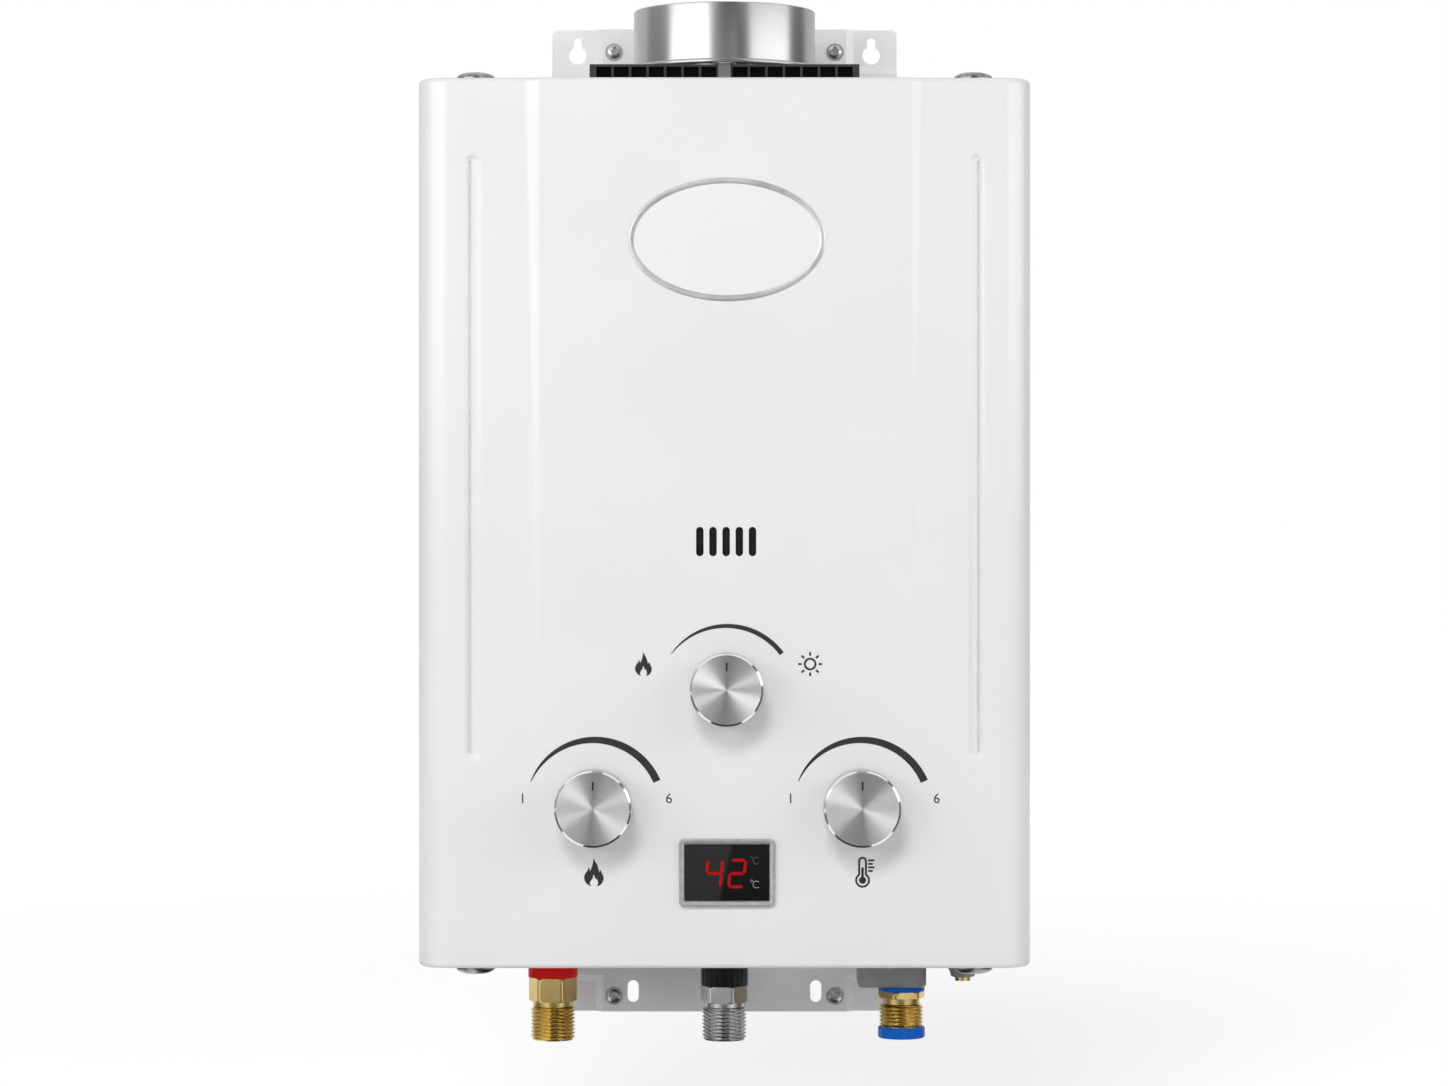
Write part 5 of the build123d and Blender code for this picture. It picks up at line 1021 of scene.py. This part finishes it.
# Badge: a blank oval plate of thin aluminium, lacquered white inside a bright rolled rim and stuck
# to the middle of the casing.
BADGE_X = 1.2 * MM
BADGE_Z = -102.8 * MM
BADGE_HALF_WIDTH = 47.5 * MM
BADGE_HALF_HEIGHT = 29.8 * MM
RIM_WIDTH = 2.9 * MM
OVAL_STEPS = 144


def oval(draw, proud):
    """A level of the badge, drawn in from its edge and proud of the casing."""
    points = []
    for index in range(OVAL_STEPS):
        turn = math.tau * index / OVAL_STEPS
        x = BADGE_X + (BADGE_HALF_WIDTH - draw) * math.cos(turn)
        z = BADGE_Z + (BADGE_HALF_HEIGHT - draw) * math.sin(turn)
        points.append((x, CASE_FRONT - front_relief(x, z) - proud, z))
    return points


rim = bmesh.new()
rim_profile = [(0, -0.1 * MM), (0, 0.3 * MM), (0.3 * MM, 0.55 * MM), (0.9 * MM, 0.7 * MM)]
rim_profile += [(2.1 * MM, 0.7 * MM), (RIM_WIDTH, 0.3 * MM), (RIM_WIDTH, -0.1 * MM)]
hoop(rim, [oval(draw, proud) for draw, proud in rim_profile])
rim_silver = finish("rim_silver", (0.66, 0.662, 0.665, 1), 0.7, 0.42)
mottle(rim_silver, 22 * MM, 3, (0.52, 0.523, 0.526, 1), (0.74, 0.742, 0.745, 1))
wear(rim_silver, 1 * MM, 3, 0.36, 0.5)
make("badge_rim", rim, rim_silver)
badge_white = finish("badge_lacquer", (0.86, 0.866, 0.872, 1), 0.0, 0.25)
grain(badge_white, 1.6 * MM, 3, 0.02 * MM, 0.15)
wear(badge_white, 9 * MM, 4, 0.24, 0.27)
plate = bmesh.new()
plug(plate, [oval(RIM_WIDTH - 0.1 * MM, proud) for proud in (-0.1 * MM, 0.32 * MM)])
make("badge_plate", plate, badge_white)


# Hot outlet: a union turned and milled from brass bar, soldered to the outlet pipe. A red moulded ring
# above its nut tells it from the cold side.
PIPE_Y = -60.0 * MM
THREAD_R = 11.0 * MM
THREAD_PITCH = 1.814 * MM
THREAD_DEPTH = 1.16 * MM
CAP_LAND_R = 10.1 * MM
NUT_FLATS = 21.0 * MM
NUT_CHAMFER = 0.9 * MM
PIPE_BORE = 7.0 * MM
STEM_R = 7.9 * MM
RING_BORE = 8.0 * MM


def union(x, stem, nut, neck, thread_end, end, tilt):
    """A pipe union: a stem, a chamfered nut, a neck, a cut thread and an open bore below them."""
    (stem_r, top), (nut_top, nut_bottom), (neck_r, neck_bottom) = stem, nut, neck
    corner = NUT_FLATS / math.sqrt(3)

    def outside(radius, height, turn):
        """The flats of the nut and the turns of the thread."""
        if radius == corner:
            sixth = (turn - math.radians(tilt)) % (math.pi / 3) - math.pi / 6
            inner = min(nut_top - height, height - nut_bottom)
            return min(NUT_FLATS / 2 / math.cos(sixth), corner - NUT_CHAMFER + 1.7 * inner)
        if radius == THREAD_R:
            phase = (height / THREAD_PITCH + turn / math.tau) % 1
            groove = THREAD_DEPTH * (0.5 + 0.5 * math.cos(math.tau * phase)) ** 0.8
            lead = max(0.0, thread_end + 1.5 * MM - height)
            return THREAD_R - max(groove, 0.7 * lead)
        return radius

    profile = [(stem_r, top), (stem_r, nut_top)]
    for share in (0.0, 0.03, 0.06, 0.1, 0.5, 0.9, 0.94, 0.97, 1.0):
        profile.append((corner, nut_top + (nut_bottom - nut_top) * share))
    profile += [(neck_r, nut_bottom), (neck_r, neck_bottom + 0.6 * MM), (neck_r - 0.6 * MM, neck_bottom)]
    rows = round((neck_bottom - thread_end) / THREAD_PITCH * 10)
    for row in range(rows + 1):
        profile.append((THREAD_R, neck_bottom + (thread_end - neck_bottom) * row / rows))
    if end < thread_end:
        profile += [(CAP_LAND_R, thread_end), (CAP_LAND_R, end)]
    profile += [(PIPE_BORE + 0.4 * MM, end), (PIPE_BORE, end + 0.4 * MM), (PIPE_BORE, end + 14 * MM)]
    return turn_round(profile, (x, PIPE_Y, 0), "Z", 96, outside)


hot_low, hot_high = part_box("hot_outlet_fitting")
hot_x = (hot_low.x + hot_high.x) / 2
ring_low, ring_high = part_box("hot_outlet_ring")
RING_LIFT = 1.9 * MM
nut = (ring_low.z + RING_LIFT, -478.5 * MM + RING_LIFT)
neck = (10.0 * MM, -481.5 * MM + RING_LIFT)
hot = union(hot_x, (STEM_R, hot_high.z), nut, neck, hot_low.z, hot_low.z, -5)
make("hot_outlet_union", hot, brass, stands_for=["hot_outlet_fitting"], crease=42)


def moulded_ring(low, high, flutes, depth):
    """A moulded ring between two levels, its edges rounded and its side fluted."""
    outer = (high.x - low.x) / 2
    edge = 0.5 * MM
    bevel = 0.15 * MM

    def outside(radius, height, turn):
        """Flutes everywhere but in the bore."""
        if radius == RING_BORE:
            return radius
        return radius - depth * (0.5 + 0.5 * math.cos(flutes * turn))

    profile = [(RING_BORE, high.z), (outer - edge, high.z), (outer - bevel, high.z - bevel)]
    profile += [(outer, high.z - edge), (outer, low.z + edge)]
    profile += [(outer - bevel, low.z + bevel), (outer - edge, low.z), (RING_BORE, low.z)]
    return turn_round(profile, ((low.x + high.x) / 2, PIPE_Y, 0), "Z", 144, outside, True)


red_moulding = finish("red_moulding", (0.72, 0.003, 0.003, 1), 0.0, 0.4)
mottle(red_moulding, 4 * MM, 3, (0.64, 0.002, 0.002, 1), (0.78, 0.004, 0.004, 1))
tune(red_moulding, "Specular IOR Level", 0.18)
wear(red_moulding, 2 * MM, 3, 0.34, 0.48)
hot_ring = moulded_ring(ring_low + Vector((0, 0, RING_LIFT)), ring_high, 36, 0.12 * MM)
make("hot_outlet_red_ring", hot_ring, red_moulding, stands_for=["hot_outlet_ring"])


# Gas inlet: a plated steel union on a steel pipe, which a black rubber sleeve protects where it
# comes through the casing.
gas_low, gas_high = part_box("gas_inlet_pipe")
sleeve_low, sleeve_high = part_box("gas_inlet_sleeve")
SLEEVE_LIFT = 1.5 * MM
nut = (sleeve_low.z + SLEEVE_LIFT, -477.2 * MM)
neck = (10.25 * MM, -479.8 * MM)
gas_in = union(0.0, (STEM_R, gas_high.z), nut, neck, gas_low.z, gas_low.z, -9)
make("gas_inlet_union", gas_in, plated_steel, stands_for=["gas_inlet_pipe"], crease=42)
sleeve = moulded_ring(sleeve_low + Vector((0, 0, SLEEVE_LIFT)), sleeve_high, 24, 0.25 * MM)
make("gas_inlet_black_sleeve", sleeve, rubber, stands_for=["gas_inlet_sleeve"])


# Cold inlet: a turned brass union under the water valve, with a blue plastic band, closed for
# transport by a fluted blue cap that pulls off downwards.
cold_low, cold_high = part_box("cold_inlet_fitting")
cold_x = (cold_low.x + cold_high.x) / 2
band_low, band_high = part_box("cold_inlet_ring")
cap_low, cap_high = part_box("cold_inlet_cap")
blue_moulding = finish("blue_moulding", (0.001, 0.12, 0.58, 1), 0.0, 0.38)
mottle(blue_moulding, 4 * MM, 3, (0.001, 0.10, 0.52, 1), (0.002, 0.135, 0.63, 1))
tune(blue_moulding, "Specular IOR Level", 0.18)
wear(blue_moulding, 2 * MM, 3, 0.32, 0.46)
cold_band = moulded_ring(band_low, band_high, 48, 0.05 * MM)
make("cold_inlet_blue_band", cold_band, blue_moulding, stands_for=["cold_inlet_ring"])
cap_r = (cap_high.x - cap_low.x) / 2
FLUTES = 18
FLUTE_DEPTH = 0.28 * MM


def fluted(radius, height, turn):
    """Flutes round the outside of the cap."""
    if radius <= cap_r - 0.6 * MM:
        return radius
    return radius - FLUTE_DEPTH * (0.5 + 0.5 * math.cos(FLUTES * turn))


cap_bore = CAP_LAND_R + 0.15 * MM
cap_floor = cap_low.z + 1.0 * MM
cap_dish = cap_low.z + 0.3 * MM
cap_profile = [(2.0 * MM, cap_floor), (cap_bore, cap_floor), (cap_bore, cap_high.z)]
cap_profile += [(cap_r - 0.4 * MM, cap_high.z), (cap_r, cap_high.z - 0.5 * MM)]
cap_profile += [(cap_r, cap_low.z + 0.9 * MM), (cap_r - 0.25 * MM, cap_dish), (cap_r - 0.9 * MM, cap_low.z)]
cap_profile += [(cap_r - 2.2 * MM, cap_low.z), (cap_r - 2.5 * MM, cap_dish), (1.5 * MM, cap_dish)]
cold_cap = turn_round(cap_profile, ((cap_low.x + cap_high.x) / 2, PIPE_Y, 0), "Z", 144, fluted)
make("cold_inlet_blue_cap", cold_cap, blue_moulding, "cold_inlet_cap", ["cold_inlet_cap"])
nut = (band_low.z, -474.9 * MM)
neck = (9.2 * MM, -478.4 * MM)
cold = union(cold_x, (STEM_R, cold_high.z), nut, neck, cap_high.z + 0.3 * MM, cold_low.z, 12)
make("cold_inlet_union", cold, brass, stands_for=["cold_inlet_fitting"], crease=42)


# Relief valve: a brass body on the side of the inlet leg, whose nipple points down through a grey
# rubber gland that closes the notch in the casing.
NIPPLE_R = 4.0 * MM
gland_profile = [(NIPPLE_R, 0), (9.4 * MM, 0), (9.9 * MM, -0.5 * MM), (9.9 * MM, -2.2 * MM)]
gland_profile += [(9.3 * MM, -3.4 * MM), (6.6 * MM, -7.2 * MM), (6.0 * MM, -9.6 * MM)]
gland_profile += [(5.6 * MM, -10.0 * MM), (NIPPLE_R, -10.0 * MM)]
gland = turn_round(gland_profile, (relief_x, PIPE_Y, CASE_BOTTOM), "Z", 64)
grey_rubber = finish("grey_rubber", (0.22, 0.22, 0.22, 1), 0.0, 0.42)
grain(grey_rubber, 0.5 * MM, 2, 0.02 * MM, 0.3)
wear(grey_rubber, 3 * MM, 3, 0.36, 0.5)
make("relief_gland", gland, grey_rubber)


# Stage: a pale floor below the hung heater, a soft key light high behind the camera and a soft box
# on each side. Cards round it, from dark to glowing, are seen by metal and gloss only.
FLOOR_Z = CASE_BOTTOM - 115 * MM
CAMERA_X = -0.24 * MM
CAMERA_Y = -2.105
CAMERA_Z = -249.2 * MM
LENS_MM = 102.3
FLOOR_REACH = 12.0
GLOW_NEAR = 0.58
GLOW_FAR = 0.87
GLOW_START = 0.7
GLOW_STOP = 2.8
AMBIENT = 0.18
WHITE = (1.0, 1.0, 1.0, 1)


def board(name, middle, across, along, paint):
    """A flat board with a finish, from its middle and its two half sides, that is no part of the heater."""
    middle, across, along = Vector(middle), Vector(across), Vector(along)
    corners = [middle - across - along, middle + across - along]
    corners += [middle + across + along, middle - across + along]
    mesh = bpy.data.meshes.new(name)
    mesh.from_pydata(corners, [], [(0, 1, 2, 3)])
    mesh.materials.append(paint)
    sheet = show(name, mesh)
    return sheet


floor_paint = finish("floor_paint", (0.9, 0.9, 0.9, 1), 0.0, 0.9)
tune(floor_paint, "Emission Color", WHITE)
tune(floor_paint, "Specular IOR Level", 0.0)
floor_tree = floor_paint.node_tree


def seen_rays(tree):
    """One where a ray comes from the camera, a gloss or a glass, and nothing elsewhere."""
    path = tree.nodes.new("ShaderNodeLightPath")
    seen = path.outputs["Is Camera Ray"]
    for kind in ("Is Glossy Ray", "Is Transmission Ray"):
        either = tree.nodes.new("ShaderNodeMath")
        either.operation = "MAXIMUM"
        tree.links.new(seen, either.inputs[0])
        tree.links.new(path.outputs[kind], either.inputs[1])
        seen = either.outputs["Value"]
    return seen


place = floor_tree.nodes.new("ShaderNodeTexCoord")
away = floor_tree.nodes.new("ShaderNodeVectorMath")
away.operation = "LENGTH"
floor_tree.links.new(place.outputs["Object"], away.inputs[0])
glow = floor_tree.nodes.new("ShaderNodeMapRange")
glow.inputs["From Min"].default_value = GLOW_START
glow.inputs["From Max"].default_value = GLOW_STOP
glow.inputs["To Min"].default_value = GLOW_NEAR
glow.inputs["To Max"].default_value = GLOW_FAR
floor_tree.links.new(away.outputs["Value"], glow.inputs["Value"])
shown = floor_tree.nodes.new("ShaderNodeMath")
shown.operation = "MULTIPLY"
floor_tree.links.new(seen_rays(floor_tree), shown.inputs[0])
floor_tree.links.new(glow.outputs["Result"], shown.inputs[1])
feed(floor_paint, "Emission Strength", shown.outputs["Value"])
board("floor", (0, 0, FLOOR_Z), (FLOOR_REACH, 0, 0), (0, FLOOR_REACH, 0), floor_paint)

world = bpy.data.worlds.new("studio")
bpy.context.scene.world = world
world.use_nodes = True
sky = world.node_tree
sky_light = sky.nodes["Background"]
sky_light.inputs["Color"].default_value = WHITE
strength = sky.nodes.new("ShaderNodeMapRange")
strength.inputs["To Min"].default_value = AMBIENT
strength.inputs["To Max"].default_value = 1.0
sky.links.new(seen_rays(sky), strength.inputs["Value"])
sky.links.new(strength.outputs["Result"], sky_light.inputs["Strength"])


def soft_box(name, place, aim, size, power, mirrored):
    """A soft box at a place that faces a point; metal need not mirror it."""
    lamp = bpy.data.lights.new(name, "AREA")
    lamp.shape = "RECTANGLE"
    lamp.size, lamp.size_y = size
    lamp.energy = power
    box = show(name, lamp)
    box.location = place
    box.rotation_euler = (Vector(aim) - box.location).to_track_quat("-Z", "Y").to_euler()
    box.visible_glossy = mirrored


soft_box("key_light", (-0.5, -2.7, 1.6), (0, 0, -0.24), (1.0, 1.0), 37.5, False)
soft_box("left_box", (-1.2, -1.2, 0.2), (0, 0, 0.2), (1.62, 0.84), 10, True)
soft_box("right_box", (1.49, -0.82, 0.3), (0, 0, 0.3), (1.9, 1.0), 11.5, True)


def card(name, middle, across, along, tone, glow=0.0):
    """A card that only metal and gloss mirror, grey or glowing a little."""
    paint = finish(name, (tone, tone, tone, 1), 0.0, 1.0)
    tune(paint, "Emission Color", WHITE)
    tune(paint, "Emission Strength", glow)
    sheet = board(name, middle, across, along, paint)
    sheet.visible_camera = False
    sheet.visible_diffuse = False
    sheet.visible_shadow = False
    sheet.visible_transmission = False


CARD_AWAY = 1.55
CARD_Z = 0.15
CARD_HALF = 0.6
CARD_TONE = 0.02
LAID_Z = FLOOR_Z + 5 * MM
# The name, bearing in degrees, half width and glow of each card that stands round the heater.
upright_cards = [
    ("card_middle", -3, 0.38, 0.38),
    ("card_right", 22, 0.22, 0.05),
    ("card_far_right", 104, 0.47, 0.16),
    ("card_back_right", 146, 0.80, 0.68),
    ("card_far_left", -92, 0.60, 0.34),
    ("card_back_left", -143, 0.85, 0.75),
]
for name, bearing, half_width, glow in upright_cards:
    turn = math.radians(bearing)
    middle = (CARD_AWAY * math.sin(turn), -CARD_AWAY * math.cos(turn), CARD_Z)
    across = (half_width * math.cos(turn), half_width * math.sin(turn), 0)
    card(name, middle, across, (0, 0, CARD_HALF), CARD_TONE, glow)
card("card_lit", (-0.75, -1.8, 0.38), (0.3, -0.12, 0), (0, 0.1, 0.32), 0.5, 2.2)
card("card_above", (0.12, -1.1, 1.0), (0.30, 0, 0), (0, 0.5, 0.55), 0.04)
card("card_below", (0.01, -1.20, LAID_Z), (0.34, 0, 0), (0, -0.80, 0), 0.04)
card("card_near", (0.0, -0.15, LAID_Z), (0.115, 0, 0), (0, -0.25, 0), 0.04)
card("card_side_right", (1.18, -0.72, -0.37), (0.36, 0.62, 0), (0, 0, 0.19), 0.28)
card("card_side_left", (-1.0, -0.98, -0.37), (0.44, -0.44, 0), (0, 0, 0.19), 0.28)
card("card_high_right", (1.25, -0.72, 0.68), (0.36, 0.62, 0), (0, 0, 0.23), 0.2)
card("card_low_right", (1.1, -0.05, LAID_Z), (0.8, 0, 0), (0, 0.35, 0), 0.12)
card("card_low_left", (-1.1, -0.05, LAID_Z), (0.8, 0, 0), (0, 0.35, 0), 0.2)

camera_lens = bpy.data.cameras.new("camera")
camera_lens.lens = LENS_MM
camera_lens.sensor_width = 36.0
camera = show("camera", camera_lens)
camera.location = (CAMERA_X, CAMERA_Y, CAMERA_Z)
camera.rotation_euler = (math.pi / 2, 0, 0)
bpy.context.scene.camera = camera
bpy.context.scene.view_settings.view_transform = "Standard"
